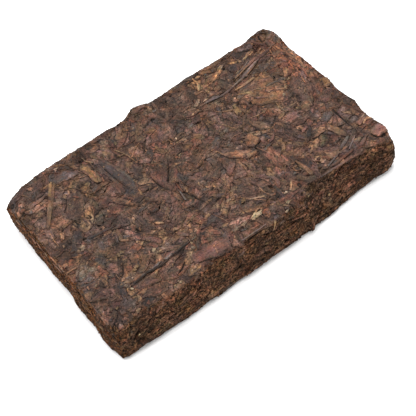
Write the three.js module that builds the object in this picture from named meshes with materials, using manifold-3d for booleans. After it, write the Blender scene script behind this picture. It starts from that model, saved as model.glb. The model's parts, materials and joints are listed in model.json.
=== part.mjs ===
// A pressed brick of pu erh tea: one solid, with the leaves, stems and crevices
// of its skin as relief. Millimetres, +Z up. X runs along the brick, Y across it,
// and the origin is at the bottom centre of its bounding box.

import * as THREE from 'three';
import { mergeVertices } from 'three/addons/utils/BufferGeometryUtils.js';
import Module from 'manifold-3d';

// Driving dimensions
const HALF_LENGTH = 73;
const HALF_WIDTH = 43;
const THICKNESS = 20.4;
const CORNER_RADIUS = 2.6;
const RIM_RADIUS = 1.7;
const FOOT_RADIUS = 1.3;
const WALL_BULGE = 0.7;

// Fineness of the core's grid
const CELLS_ALONG = 28;
const CELLS_ACROSS = 17;
const CELLS_UP = 5;
const RIM_CELL_PULL = 0.22;

// Relief of the core: how high its waves are and how long
const TOP_WAVE = 0.45;
const TOP_WAVE_LENGTH = 34;
const TOP_RIPPLE = 0.15;
const TOP_RIPPLE_LENGTH = 9;
const WALL_CRUMB = 0.55;
const WALL_CRUMB_LENGTH = 16.5;
const LAYER_STRETCH = 1.6;

// Uneven waves are a sum of sine waves: the way each runs (radians), and how much
// shorter and lower each is than the one before
const WAVE_TURNS = [0.3, 1.4, 2.6, 3.9];
const WAVE_STEP = 0.37;
const WAVE_PEAK = 2.2;

// Leaves that lie on the top and the walls
const LEAF_SINK = 0.55;
const LEAF_STAND = 0.45;
const LEAF_WAVE = 0.28;
const LEAF_RIM_SHARE = 0.45;
const LEAF_MIDDLE_SHARE = 0.8;
const LEAF_LIFT = 0.35;
const LEAF_BEND = 0.25;
const LEAF_TAPER = 0.18;
const LEAF_TIP = 0.12;
const LEAF_LENGTH = [10, 18];
const LEAF_WIDTH = [5, 9];
const LEAF_MARGIN = 2.5;
const LEAF_ROWS = 5;
const LEAF_COLUMNS = 8;
const LEAF_JITTER = 0.6;
const LEAF_CELLS = [4, 2];
const BOLD_LEAF_CELLS = [5, 3];
const BOLD_LEAF_CLEARANCE = 0.8;
const FLAKE_LENGTH = [6, 13];
const FLAKE_HEIGHT = [2.6, 5];
const FLAKES_PER_LONG_WALL = 9;
const FLAKES_PER_SHORT_WALL = 5;
const FLAKE_JITTER = 0.7;
const FLAKE_MARGIN = 3;
const FLAKE_LEVELS = [4, THICKNESS - 5];
const FLAKE_TURN = 24;
const FLAKE_LIFT = 0.2;

const STEM_SIDES = 6;
const STEM_STEP = 3;
const STEM_STAND = 0.16;
const WALL_STICK_STAND = 0.25;
const SEED = 2718;

// Each wall's outline, as a distance out from the middle of the brick at its rim and
// at its foot, with swells (+) and hollows (-): where along the wall, how far they
// reach to each side, and how far out.
const WALLS = {
  far: {
    rim: {
      out: 43.8,
      swells: [[-78, 14, -6.2], [-10, 4, -1.2], [-0.5, 3.6, 1.6], [25, 12, 0.4], [57, 6, -0.9],
        [69.5, 6, 1.7]],
    },
    foot: { out: 44.4, swells: [[-70, 9, -1.6], [-22, 10, 0.5], [30, 12, -0.7], [70, 6, -1.2]] },
  },
  near: {
    rim: {
      out: 41.8,
      swells: [[-72, 5, 0.9], [-61, 5, -1.6], [-43, 7, 1.3], [-20, 8, -0.5], [10, 8, 0.3],
        [32, 5, -2.2], [46, 17, -4.8], [73, 5, 1.9]],
    },
    foot: {
      out: 46.1,
      swells: [[-76, 4, -0.9], [-42, 12, 0.6], [-25.6, 2, 2.2], [-6, 4, 0.6], [56, 18, -3.1], [75, 7, -3.8]],
    },
  },
  right: {
    rim: {
      out: 74.3,
      swells: [[42, 6, -1.6], [36, 5, 0.9], [27, 4, -0.7], [14, 5, -0.2], [1.5, 4, 1.5], [-13.5, 5, 2.9],
        [-24, 5, 1.2], [-32, 5, 2.7], [-41, 5, 0.6]],
    },
    foot: { out: 75.7, swells: [[40, 7, -1.3], [12, 8, 0.8], [-20, 9, -0.6], [-43, 6, 1.3]] },
  },
  left: {
    rim: { out: 73.1, swells: [[43, 4, 1], [20, 9, -1.1], [-30, 9, 1.3]] },
    foot: { out: 72.3, swells: [[42, 8, -2.6], [27, 9, -0.8], [-19, 5.5, 1.9], [-33, 8, 3.2], [-44, 4, 2]] },
  },
};

// Leaves that stand out: middle, turn, length, width, and lift above the bed
const BOLD_LEAVES = [
  { name: 'smooth_plate', at: [-26, 23], turn: 97, size: [21, 10], lift: 0.25 },
  { name: 'flat_by_near_rim', at: [-20, -35], turn: 4, size: [20, 9], lift: 0.2 },
  { name: 'lobed', at: [22, -4.5], turn: 28, size: [17, 9], lift: 0.55 },
  { name: 'crinkled_far', at: [33, 36], turn: 6, size: [22, 7], lift: 0.5 },
  { name: 'pale_patch', at: [47, 14], turn: 20, size: [24, 15], lift: 0.3 },
  { name: 'fold_at_far_rim', at: [-1, 40.6], turn: 3, size: [12, 8], lift: 0.35 },
  { name: 'corner_curl', at: [70.5, -34.5], turn: 74, size: [14, 8.5], lift: 0.65 },
  { name: 'band_by_right_rim', at: [69.5, 19], turn: 92, size: [24, 8], lift: 0.35 },
  { name: 'golden_bud', at: [-36, 26], turn: 84, size: [14, 4.5], lift: 0.4 },
  { name: 'left_plate', at: [-61, -13], turn: 70, size: [16, 9], lift: 0.3 },
  { name: 'dark_round', at: [13, -24], turn: 35, size: [18, 13], lift: 0.3 },
  { name: 'streaked', at: [53, -24], turn: 50, size: [17, 10], lift: 0.35 },
];

// Stems pressed into the top: points along each, and its diameter
const STEMS = [
  { name: 'tan_stem', through: [[-67, 17], [-60, 25], [-52.5, 34.5]], diameter: 2.3 },
  { name: 'dark_twig', through: [[-57, -28.5], [-44, -28], [-31, -27.4], [-17, -27.6]], diameter: 1.9 },
  { name: 'ribbed_stem', through: [[24, 25], [36, 25.4], [49, 29], [63, 33.5]], diameter: 2.4 },
  { name: 'rim_stem', through: [[30, -36.4], [44, -37.2], [60, -37]], diameter: 1.7 },
  { name: 'hooked_stem', through: [[-47.5, -3], [-47, -6.5], [-44, -9.8]], diameter: 1.6 },
  { name: 'bright_sliver', through: [[-3, -34.8], [2, -34], [8, -33.4]], diameter: 2.2 },
  { name: 'lilac_stem', through: [[37, -33.5], [48, -31], [60, -28]], diameter: 1.6 },
  { name: 'short_stick', through: [[-31.5, -10.4], [-28.5, -12.6]], diameter: 1.5 },
  { name: 'curved_rib', through: [[33, -20], [34.5, -15], [38.5, -12.4]], diameter: 1.5 },
];

// Crevices in the top: points along each, its width at the surface and its depth
const CREVICES = [
  { name: 'long_crack', through: [[-57, -0.4], [-46, -1.6], [-36, -4.6]], width: 1.2, depth: 1.5 },
  { name: 'forked_crack', through: [[-18, 13], [-17, 3], [-13, -4], [-7.5, -17.5]], width: 1.1, depth: 1.6 },
  { name: 'fork', through: [[-8, 12], [-12.5, 4], [-13.4, -3]], width: 1.0, depth: 1.2 },
  { name: 'under_lobed', through: [[29, -5.4], [36, -3], [45, 1.6]], width: 1.3, depth: 1.6 },
  { name: 'rim_crack', through: [[64.2, -11], [64, -18], [64.8, -26]], width: 1.3, depth: 1.7 },
  { name: 'far_crack', through: [[50, 40], [56, 37.6], [60.5, 35.4]], width: 1.0, depth: 1.2 },
  { name: 'crumb_crack', through: [[-15, -24], [-9, -21.8], [-2, -20]], width: 1.0, depth: 1.1 },
];
const CREVICE_HEADROOM = 3;
const CREVICE_FLOOR = 0.12;
const CREVICE_ENDS = [0.12, 0.88];

// Sticks on the near wall: place along it, height, length, turn and diameter
const WALL_STICK = { at: 26, height: 8, length: 12, turn: 86, diameter: 1.9 };
const WALL_SLIVER = { at: 20.5, height: 14.5, length: 8, turn: -12, diameter: 1.2 };

const wasm = await Module();
wasm.setup();

// Numbers that look random and come out alike each time
function seededRandom(seed) {
  let state = seed;
  return () => {
    state = (state + 0x6d2b79f5) | 0;
    let t = Math.imul(state ^ (state >>> 15), 1 | state);
    t = (t + Math.imul(t ^ (t >>> 7), 61 | t)) ^ t;
    return ((t ^ (t >>> 14)) >>> 0) / 4294967296;
  };
}

const between = (random, [low, high]) => low + (high - low) * random();
const mix = (a, b, t) => a + (b - a) * t;
const radians = THREE.MathUtils.degToRad;

// Smooth uneven waves, about -1 to 1, from a few turned sine waves
function waves(x, y, waveLength, phase) {
  let sum = 0;
  WAVE_TURNS.forEach((turn, i) => {
    const finer = 1 + WAVE_STEP * i;
    const along = (2 * Math.PI * finer * (x * Math.cos(turn) + y * Math.sin(turn))) / waveLength;
    sum += Math.sin(along + phase * (i + 1)) / finer;
  });
  return sum / WAVE_PEAK;
}

function swollen({ out, swells }, along) {
  const rises = swells.map(([at, reach, rise]) => rise * Math.exp(-(((along - at) / reach) ** 2)));
  return rises.reduce((sum, rise) => sum + rise, out);
}

// How far out a wall stands at a place along it, at a level from 0 (foot) to 1 (rim)
function wallOut(name, along, level) {
  const wall = WALLS[name];
  const phase = Object.keys(WALLS).indexOf(name) * 1.7 + 0.4;
  const plain = mix(swollen(wall.foot, along), swollen(wall.rim, along), level);
  const bulge = WALL_BULGE * Math.sin(Math.PI * level);
  const crumb = WALL_CRUMB * waves(along, level * THICKNESS * LAYER_STRETCH, WALL_CRUMB_LENGTH, phase);
  return plain + bulge + crumb * Math.sin(Math.PI * Math.min(1, level + 0.2));
}

function topHeight(x, y) {
  const wave = TOP_WAVE * waves(x, y, TOP_WAVE_LENGTH, 0.9);
  const ripple = TOP_RIPPLE * waves(x, y, TOP_RIPPLE_LENGTH, 2.2);
  return THICKNESS - 0.3 + wave + ripple;
}

// Rounds the corner between two walls or faces: p and q are distances from the
// middle, pMax and qMax the walls, and the corner's square becomes a quarter circle
function rounded(p, q, pMax, qMax, radius) {
  const dp = Math.max(0, p - (pMax - radius));
  const dq = Math.max(0, q - (qMax - radius));
  if (dp === 0 || dq === 0) return [p, q];
  const shrink = Math.max(dp, dq) / Math.hypot(dp, dq);
  return [pMax - radius + dp * shrink, qMax - radius + dq * shrink];
}

// A point of the brick's skin or inside, from nominal x and y and a level of 0 to 1
function placed(x, y, level) {
  const alongX = wallOut(x < 0 ? 'left' : 'right', y, level) / HALF_LENGTH;
  const alongY = wallOut(y < 0 ? 'near' : 'far', x, level) / HALF_WIDTH;
  return new THREE.Vector3(x * alongX, y * alongY, level * topHeight(x, y));
}

// Draws a grid's lines, at t from -1 to 1, closer together towards the walls
function pulled(t) {
  return mix(t, Math.sin((t * Math.PI) / 2), RIM_CELL_PULL);
}

// The block itself: a box whose grid is rounded, then pushed out to the walls
function coreGeometry() {
  const box = new THREE.BoxGeometry(2, 2, 2, CELLS_ALONG, CELLS_ACROSS, CELLS_UP);
  const position = box.attributes.position;
  for (let i = 0; i < position.count; i += 1) {
    const a = pulled(position.getX(i));
    const b = pulled(position.getY(i));
    const nominalX = Math.abs(a) * HALF_LENGTH;
    const nominalY = Math.abs(b) * HALF_WIDTH;
    const [px, py] = rounded(nominalX, nominalY, HALF_LENGTH, HALF_WIDTH, CORNER_RADIUS);
    let x = Math.sign(a) * px;
    let y = Math.sign(b) * py;
    let height = ((position.getZ(i) + 1) / 2) * THICKNESS;

    // the rim above and the foot below are rounded against the nearest wall
    const reach = Math.max(nominalX - HALF_LENGTH, nominalY - HALF_WIDTH) + HALF_WIDTH;
    const above = height > THICKNESS / 2;
    const radius = above ? RIM_RADIUS : FOOT_RADIUS;
    const fromMiddle = above ? height : THICKNESS - height;
    const [newReach, newHeight] = rounded(reach, fromMiddle, HALF_WIDTH, THICKNESS, radius);
    const inward = (reach - newReach) / HALF_WIDTH;
    x *= 1 - inward * (HALF_WIDTH / HALF_LENGTH);
    y *= 1 - inward;
    height = above ? newHeight : THICKNESS - newHeight;
    const point = placed(x, y, height / THICKNESS);
    position.setXYZ(i, point.x, point.y, point.z);
  }
  return box;
}

// Half the width of a leaf at t from -1 (stalk) to 1 (tip), of 1 at its widest
function leafProfile(t, bluntness) {
  const round = Math.max(0, 1 - Math.abs(t) ** (2 + bluntness)) ** 0.6;
  return round * (1 - LEAF_TAPER * t) + LEAF_TIP;
}

// A thin wavy leaf of a few faces, laid on a bed: a function from (x, y) to the
// bed's point and the direction out of it
function leafGeometry(bed, at, turn, [length, width], lift, random, cells = LEAF_CELLS) {
  const leaf = new THREE.BoxGeometry(2, 2, 1, ...cells, 1);
  const position = leaf.attributes.position;
  const phase = random() * 6;
  const bluntness = random() * 2;
  const bend = (random() - 0.5) * LEAF_BEND;
  const turned = radians(turn);
  for (let i = 0; i < position.count; i += 1) {
    const t = position.getX(i);
    const side = position.getY(i);
    const along = (t * length) / 2;
    const across = (side * leafProfile(t, bluntness) * width) / 2 + bend * (along * along) / length;
    const x = at[0] + along * Math.cos(turned) - across * Math.sin(turned);
    const y = at[1] + along * Math.sin(turned) + across * Math.cos(turned);
    const { point, out } = bed(x, y);
    const atRim = Math.max(Math.abs(t), Math.abs(side)) > 0.99;
    const stand = LEAF_STAND * (atRim ? LEAF_RIM_SHARE : LEAF_MIDDLE_SHARE);
    const wave = LEAF_WAVE * waves(along, across, width, phase);
    const isUpper = position.getZ(i) > 0;
    point.addScaledVector(out, isUpper ? lift + stand + wave : -LEAF_SINK - LEAF_WAVE);
    position.setXYZ(i, point.x, point.y, point.z);
  }
  return leaf;
}

// Beds for the leaves: the top, bent down over the rim past the walls, and each wall
function topBed(x, y) {
  const pastEnds = Math.abs(x) - wallOut(x < 0 ? 'left' : 'right', y, 1);
  const pastSides = Math.abs(y) - wallOut(y < 0 ? 'near' : 'far', x, 1);
  const past = Math.max(0, Math.max(pastEnds, pastSides) + RIM_RADIUS);
  const droop = (past * past) / (RIM_RADIUS * 2);
  return { point: new THREE.Vector3(x, y, topHeight(x, y) - droop), out: new THREE.Vector3(0, 0, 1) };
}

function wallBed(name) {
  const sign = name === 'far' || name === 'right' ? 1 : -1;
  const isLong = name === 'far' || name === 'near';
  return (along, height) => {
    const out = sign * wallOut(name, along, height / THICKNESS);
    const point = isLong ? new THREE.Vector3(along, out, height) : new THREE.Vector3(out, along, height);
    const direction = isLong ? new THREE.Vector3(0, sign, 0) : new THREE.Vector3(sign, 0, 0);
    return { point, out: direction };
  };
}

// A place in one of a wall's or row's equal shares, moved at random within it
function jittered(random, [low, high], index, count, jitter) {
  return mix(low, high, (index + 0.5 + jitter * (random() - 0.5)) / count);
}

// Leaves by rule: a jittered row and column pattern, where no bold leaf lies
function topLeaves(random) {
  const leaves = [];
  const reachX = HALF_LENGTH - LEAF_MARGIN;
  const reachY = HALF_WIDTH - LEAF_MARGIN;
  for (let row = 0; row < LEAF_ROWS; row += 1) {
    for (let column = 0; column < LEAF_COLUMNS; column += 1) {
      const x = jittered(random, [-reachX, reachX], column, LEAF_COLUMNS, LEAF_JITTER);
      const y = jittered(random, [-reachY, reachY], row, LEAF_ROWS, LEAF_JITTER);
      const turn = random() * 180;
      const size = [between(random, LEAF_LENGTH), between(random, LEAF_WIDTH)];
      const lift = random() * LEAF_LIFT;
      const covered = BOLD_LEAVES.some(({ at, size: [, wide] }) => (
        Math.hypot(x - at[0], y - at[1]) < wide * BOLD_LEAF_CLEARANCE));
      if (!covered) leaves.push(leafGeometry(topBed, [x, y], turn, size, lift, random));
    }
  }
  return leaves;
}

function boldLeaves(random) {
  return BOLD_LEAVES.map(({ at, turn, size, lift }) => (
    leafGeometry(topBed, at, turn, size, lift, random, BOLD_LEAF_CELLS)));
}

// Flakes lie along the layers of each wall. On two of the walls their faces look
// inwards, which solid turns round.
function wallFlakes(random) {
  const flakes = [];
  for (const name of Object.keys(WALLS)) {
    const isLong = name === 'far' || name === 'near';
    const count = isLong ? FLAKES_PER_LONG_WALL : FLAKES_PER_SHORT_WALL;
    const half = (isLong ? HALF_LENGTH : HALF_WIDTH) - CORNER_RADIUS - FLAKE_MARGIN;
    for (let i = 0; i < count; i += 1) {
      const along = jittered(random, [-half, half], i, count, FLAKE_JITTER);
      const height = between(random, FLAKE_LEVELS);
      const size = [between(random, FLAKE_LENGTH), between(random, FLAKE_HEIGHT)];
      const turn = (random() - 0.5) * FLAKE_TURN;
      flakes.push(leafGeometry(wallBed(name), [along, height], turn, size, random() * FLAKE_LIFT, random));
    }
  }
  return flakes;
}

// A stem follows a curve through its points
function stemGeometry(points, diameter, length) {
  const curve = new THREE.CatmullRomCurve3(points, false, 'centripetal');
  const section = new THREE.Shape();
  for (let i = 0; i < STEM_SIDES; i += 1) {
    const angle = (i / STEM_SIDES) * Math.PI * 2;
    const corner = [Math.cos(angle) * (diameter / 2), Math.sin(angle) * (diameter / 2)];
    if (i === 0) section.moveTo(...corner);
    else section.lineTo(...corner);
  }
  const steps = Math.max(2, Math.round(length / STEM_STEP));
  return new THREE.ExtrudeGeometry(section, { steps, extrudePath: curve });
}

function spanOf(through) {
  const [first, last] = [through[0], through[through.length - 1]];
  return Math.hypot(last[0] - first[0], last[1] - first[1]);
}

function topStems() {
  return STEMS.map(({ through, diameter }) => {
    const rise = diameter * STEM_STAND;
    const points = through.map(([x, y]) => new THREE.Vector3(x, y, topBed(x, y).point.z + rise));
    return stemGeometry(points, diameter, spanOf(through));
  });
}

function wallStick({ at, height, length, turn, diameter }) {
  const bed = wallBed('near');
  const points = [-0.5, 0, 0.5].map((t) => {
    const along = at + t * length * Math.cos(radians(turn));
    const { point, out } = bed(along, height + t * length * Math.sin(radians(turn)));
    return point.addScaledVector(out, diameter * WALL_STICK_STAND);
  });
  return stemGeometry(points, diameter, length);
}

// A crevice is cut by a wedge along its curve, wide above and sharp below
function creviceCutter({ through, width, depth }) {
  const points = through.map(([x, y]) => new THREE.Vector3(x, y, 0));
  const curve = new THREE.CatmullRomCurve3(points, false, 'centripetal');
  const steps = Math.max(3, Math.round(spanOf(through) / STEM_STEP));
  const wedge = new THREE.BoxGeometry(1, 1, 1, steps, 1, 1);
  const position = wedge.attributes.position;
  for (let i = 0; i < position.count; i += 1) {
    const t = position.getX(i) + 0.5;
    const point = curve.getPointAt(t);
    const tangent = curve.getTangentAt(t);
    const taper = Math.sin(Math.PI * mix(...CREVICE_ENDS, t));
    const isLow = position.getZ(i) < 0;
    const wide = isLow ? CREVICE_FLOOR : 1 + CREVICE_HEADROOM / depth;
    const offset = position.getY(i) * width * wide * taper;
    const bed = topBed(point.x, point.y).point.z + LEAF_STAND * 0.5;
    const z = isLow ? bed - depth * taper : bed + CREVICE_HEADROOM;
    position.setXYZ(i, point.x - tangent.y * offset, point.y + tangent.x * offset, z);
  }
  return wedge;
}

// A closed geometry as a solid, turned to face outwards where it doesn't
function solid(geometry) {
  const bare = geometry.clone();
  bare.deleteAttribute('normal');
  bare.deleteAttribute('uv');
  const merged = mergeVertices(bare, 1e-4);
  const vertProperties = new Float32Array(merged.attributes.position.array);
  const triVerts = new Uint32Array(merged.index.array);
  const mesh = (order) => new wasm.Mesh({ numProp: 3, vertProperties, triVerts: order });
  const made = new wasm.Manifold(mesh(triVerts));
  if (made.volume() > 0) return made;
  for (let i = 0; i < triVerts.length; i += 3) {
    [triVerts[i + 1], triVerts[i + 2]] = [triVerts[i + 2], triVerts[i + 1]];
  }
  return new wasm.Manifold(mesh(triVerts));
}

// The whole brick as one body: no scrap and no sealed hollow is left
function brick() {
  const random = seededRandom(SEED);
  let body = solid(coreGeometry());
  const added = [
    ...topLeaves(random), ...boldLeaves(random), ...wallFlakes(random), ...topStems(),
    wallStick(WALL_STICK), wallStick(WALL_SLIVER),
  ];
  for (const piece of added) body = body.add(solid(piece));
  for (const crevice of CREVICES) body = body.subtract(solid(creviceCutter(crevice)));
  const largestFirst = body.decompose().sort((a, b) => b.volume() - a.volume());
  return largestFirst[0];
}

function bufferGeometry(body) {
  const { vertProperties, triVerts } = body.getMesh();
  const geometry = new THREE.BufferGeometry();
  geometry.setAttribute('position', new THREE.BufferAttribute(new Float32Array(vertProperties), 3));
  geometry.setIndex(new THREE.BufferAttribute(new Uint32Array(triVerts), 1));
  geometry.computeBoundingBox();
  const middle = geometry.boundingBox.getCenter(new THREE.Vector3());
  geometry.translate(-middle.x, -middle.y, -geometry.boundingBox.min.z);
  geometry.computeVertexNormals();
  return geometry;
}

const pressedTea = new THREE.MeshStandardMaterial({ color: 0x675146, roughness: 0.75, metalness: 0 });

const block = new THREE.Mesh(bufferGeometry(brick()), pressedTea);
block.name = 'tea_brick';

const part = new THREE.Group();
part.add(block);

export default part;
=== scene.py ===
"""A pressed brick of pu erh tea: the leaves, flakes, stems, fibres and crumbs of its skin.

Laid out as an add-on. Everything is in metres in the brick's own frame: X along it,
Y across it, Z up, with the origin under its middle.
"""

import json
import math
import random
from typing import NamedTuple

import bmesh
import bpy
from bpy.props import FloatProperty, FloatVectorProperty, IntProperty, PointerProperty
from mathutils import Matrix, Vector
from mathutils.bvhtree import BVHTree
from mathutils.kdtree import KDTree

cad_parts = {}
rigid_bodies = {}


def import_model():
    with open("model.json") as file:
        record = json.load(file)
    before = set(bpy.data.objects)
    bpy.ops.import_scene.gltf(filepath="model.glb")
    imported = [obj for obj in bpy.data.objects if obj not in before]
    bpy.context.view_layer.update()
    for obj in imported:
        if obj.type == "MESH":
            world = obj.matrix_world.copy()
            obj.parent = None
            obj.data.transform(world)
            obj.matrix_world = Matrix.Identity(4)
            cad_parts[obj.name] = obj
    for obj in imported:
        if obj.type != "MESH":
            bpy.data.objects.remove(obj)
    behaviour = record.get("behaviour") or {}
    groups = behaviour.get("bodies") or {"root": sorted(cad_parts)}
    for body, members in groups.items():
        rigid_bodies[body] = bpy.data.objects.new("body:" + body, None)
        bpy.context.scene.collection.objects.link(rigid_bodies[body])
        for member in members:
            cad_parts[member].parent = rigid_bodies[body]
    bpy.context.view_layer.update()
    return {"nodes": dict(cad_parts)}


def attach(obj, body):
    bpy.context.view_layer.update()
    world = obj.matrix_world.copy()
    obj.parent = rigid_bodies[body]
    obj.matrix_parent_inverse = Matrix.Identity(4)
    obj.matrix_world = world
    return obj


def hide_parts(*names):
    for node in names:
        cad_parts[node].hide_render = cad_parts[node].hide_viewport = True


bl_info = {
    "name": "Pu erh tea brick",
    "version": (1, 0, 0),
    "blender": (4, 5, 0),
    "location": "3D View > Sidebar > Tea Brick",
    "description": "Dresses a pressed tea brick in its leaves, stems and crumbs",
    "category": "Object",
}

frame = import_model()
NODE = "tea_brick"
BODY = "root"
MM = 0.001
SKIN = "Tea brick skin"
BED = "tea_bed"
LOWEST = 0.35 * MM  # how far over the floor the bed stays

# The camera: where it looks (mm), which way, how it is rolled, how far off it stands
LOOK_AT = Vector((-5.58, -12.80, 10.41)) * MM
VIEW_AZIMUTH = math.radians(-33.16)
VIEW_ELEVATION = math.radians(54.85)
VIEW_ROLL = math.radians(-5.76)
VIEW_DISTANCE = 725 * MM
LENS = 147.9
SENSOR = 36.0

# The studio, in metres and watts
SOFTBOX_AT = (-0.05, 0.3, 1.1)
SOFTBOX_SIZE = (1.3, 1.1)
SOFTBOX_POWER = 21.0
ROOM_LIGHT = 0.95
FLOOR_HALF = 4.0


def srgb(red, green, blue):
    """A colour of 0 to 255 as screens show it, in the linear values that shaders take."""
    def linear(value):
        value /= 255
        return value / 12.92 if value <= 0.04045 else ((value + 0.055) / 1.055) ** 2.4
    return (linear(red), linear(green), linear(blue))


def length_of(name, default, description):
    """A length given in mm."""
    return FloatProperty(name=name, description=description, default=default * MM, min=0.0, unit="LENGTH")


def share_of(name, default, description):
    return FloatProperty(name=name, description=description, default=default, min=0.0, max=4.0)


def colour_of(name, default, description):
    return FloatVectorProperty(name=name, description=description, default=srgb(*default),
                               min=0.0, max=1.0, size=3, subtype="COLOR")


class TeaBrickSizes(bpy.types.PropertyGroup):
    """Sizes that every piece of the skin shares."""
    bed_voxel: length_of("Bed fineness", 0.9, "Cell size of the smooth bed that the leaves follow")
    core_voxel: length_of("Core fineness", 0.72, "Cell size of the core that shows between the leaves")
    bed_inset: length_of("Bed inset", 0.45, "How far the bed lies inside the brick's outline")
    press_height: length_of("Press height", 1.25, "How high leaf on leaf may stand over the bed")
    ray_reach: length_of("Reach", 4.0, "How far out the search for what a leaf lies on begins")
    crumble: length_of("Crumble", 0.9, "Depth of the core's own uneven surface")
    crevice_depth: length_of("Crevice depth", 1.4, "How deep the named crevices are")
    crevice_width: length_of("Crevice width", 0.42, "How wide the named crevices are")
    bed_smoothing: IntProperty(name="Bed smoothing", default=3, min=0, max=60,
                               description="Rounds of smoothing that take the relief out of the bed")
    abundance: share_of("Abundance", 1.0, "How many bits lie on the brick, against the usual number")


class TeaBrickColours(bpy.types.PropertyGroup):
    """Colours of the dried leaves and stems."""
    # Ink is also painted as shade: at the bottom of the crevices and holes, in cracks and pits, and under the
    # sunk rims of leaves.
    ink: colour_of("Ink", (26, 19, 14), "Blackened twig and the depth of the crevices")
    soot: colour_of("Soot", (44, 32, 25), "Darkest leaf")
    earth: colour_of("Earth", (60, 40, 26), "Crumbly dust on the walls")
    umber: colour_of("Umber", (67, 48, 38), "Common dark brown leaf")
    bark: colour_of("Bark", (83, 59, 47), "Common mid brown leaf")
    slate: colour_of("Slate", (55, 46, 43), "Smooth dark grey leaf")
    plum: colour_of("Plum", (75, 60, 55), "Smooth purple grey leaf")
    wine: colour_of("Wine", (76, 50, 42), "Dark reddish leaf")
    moss: colour_of("Moss", (76, 61, 42), "Dull green brown leaf")
    olive: colour_of("Olive", (97, 79, 54), "Light green brown leaf")
    russet: colour_of("Russet", (89, 57, 44), "Reddish brown leaf")
    brick: colour_of("Brick", (102, 62, 45), "Orange red leaf")
    honey: colour_of("Honey", (99, 72, 51), "Golden brown leaf")
    rose: colour_of("Rose", (106, 76, 65), "Pinkish brown leaf")
    tan: colour_of("Tan", (108, 80, 59), "Light brown stem")
    gold: colour_of("Gold", (116, 88, 58), "Golden bud or leaf")
    peach: colour_of("Peach", (126, 87, 63), "Pale orange leaf")
    stone: colour_of("Stone", (100, 83, 71), "Pale grey brown leaf")
    # Mist is also the pale colour of painted glints: specks mixed into the grain, and strands laid on the
    # twig and the rims.
    mist: colour_of("Mist", (90, 80, 75), "Grey lilac stem")
    straw: colour_of("Straw", (136, 109, 84), "Pale stem")
    hay: colour_of("Hay", (160, 121, 84), "Brightest golden shred")
    sand: colour_of("Sand", (116, 87, 64), "Light golden brown leaf")
    amber: colour_of("Amber", (112, 77, 54), "Deep golden leaf")
    lilac: colour_of("Lilac", (108, 87, 79), "Greyish pink brown stem")
    copper: colour_of("Copper", (98, 64, 56), "Smooth reddish brown leaf")
    salmon: colour_of("Salmon", (117, 80, 70), "Smooth reddish leaf")
    ember: colour_of("Ember", (114, 70, 49), "Bright orange red leaf")
    cream: colour_of("Cream", (168, 142, 118), "Palest fragment")


def sizes():
    return bpy.context.scene.tea_brick_sizes


def colour(name):
    return (*getattr(bpy.context.scene.tea_brick_colours, name), 1.0)


# ---------------------------------------------------------------- node trees

class Value:
    """What one socket gives, so that a tree's sums can be written as formulas. Tuples and
    vector sockets make sums of vectors, and a vector times a number is that vector scaled."""

    def __init__(self, nodes, socket):
        self.nodes = nodes
        self.socket = socket

    def joined(self, operation, first, second):
        vectors = is_vector(first), is_vector(second)
        if not any(vectors):
            return self.nodes.math(operation, first, second)
        if operation == "MULTIPLY" and not all(vectors):
            vector, factor = (first, second) if vectors[0] else (second, first)
            return self.nodes.result("ShaderNodeVectorMath", {"Vector": vector, "Scale": factor},
                                     operation="SCALE")
        return self.nodes.vector(operation, first, second)

    def __add__(self, other):
        return self.joined("ADD", self, other)

    def __radd__(self, other):
        return self.joined("ADD", other, self)

    def __sub__(self, other):
        return self.joined("SUBTRACT", self, other)

    def __rsub__(self, other):
        return self.joined("SUBTRACT", other, self)

    def __mul__(self, other):
        return self.joined("MULTIPLY", self, other)

    def __truediv__(self, other):
        return self.joined("DIVIDE", self, other)

    def __rtruediv__(self, other):
        return self.joined("DIVIDE", other, self)

    def __pow__(self, other):
        return self.joined("POWER", self, other)

    def __rpow__(self, other):
        return self.joined("POWER", other, self)

    def __abs__(self):
        return self.nodes.math("ABSOLUTE", self)


def is_vector(value):
    return isinstance(value, tuple) or isinstance(value, Value) and value.socket.type in ("VECTOR", "RGBA")


class Nodes:
    """Adds nodes to a tree. A node's input is given as a Value or as a plain setting."""

    def __init__(self, tree):
        self.tree = tree

    def add(self, kind, inputs=None, **settings):
        node = self.tree.nodes.new(kind)
        for name, value in settings.items():
            setattr(node, name, value)
        for key, value in (inputs or {}).items():
            self.feed(self.found(node.inputs, key), value)
        return node

    @staticmethod
    def found(sockets, key=None):
        """A socket by its number or name; without either, the first that is in use."""
        if isinstance(key, int):
            return sockets[key]
        return next(s for s in sockets if s.enabled and key in (None, s.name))

    def feed(self, socket, value):
        if isinstance(value, Value):
            self.tree.links.new(value.socket, socket)
        else:
            socket.default_value = value

    def out(self, node, key=None):
        return Value(self, self.found(node.outputs, key))

    def result(self, kind, inputs=None, key=None, **settings):
        """What a new node gives."""
        return self.out(self.add(kind, inputs, **settings), key)

    def math(self, operation, *values, clamp=False):
        return self.result("ShaderNodeMath", dict(enumerate(values)), operation=operation, use_clamp=clamp)

    def vector(self, operation, *values):
        return self.result("ShaderNodeVectorMath", dict(enumerate(values)), operation=operation)

    def combine(self, x, y, z):
        return self.result("ShaderNodeCombineXYZ", {0: x, 1: y, 2: z})

    def split(self, vector):
        parts = self.add("ShaderNodeSeparateXYZ", {0: vector}).outputs
        return [Value(self, part) for part in parts]

    def mapped(self, value, low, high, to_low=0.0, to_high=1.0, smooth=True):
        return self.result("ShaderNodeMapRange", {"Value": value, "From Min": low, "From Max": high,
                                                  "To Min": to_low, "To Max": to_high},
                           interpolation_type="SMOOTHSTEP" if smooth else "LINEAR")

    def noise(self, vector, scale, detail=2.0, roughness=0.5, key="Fac"):
        return self.result("ShaderNodeTexNoise", {"Vector": vector, "Scale": scale, "Detail": detail,
                                                  "Roughness": roughness}, key)

    def mixed(self, factor, a, b):
        return self.result("ShaderNodeMix", {"Factor": factor, "A": a, "B": b}, data_type="RGBA")

    def attribute(self, name, key="Vector"):
        return self.result("ShaderNodeAttribute", key=key, attribute_name=name)


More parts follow.
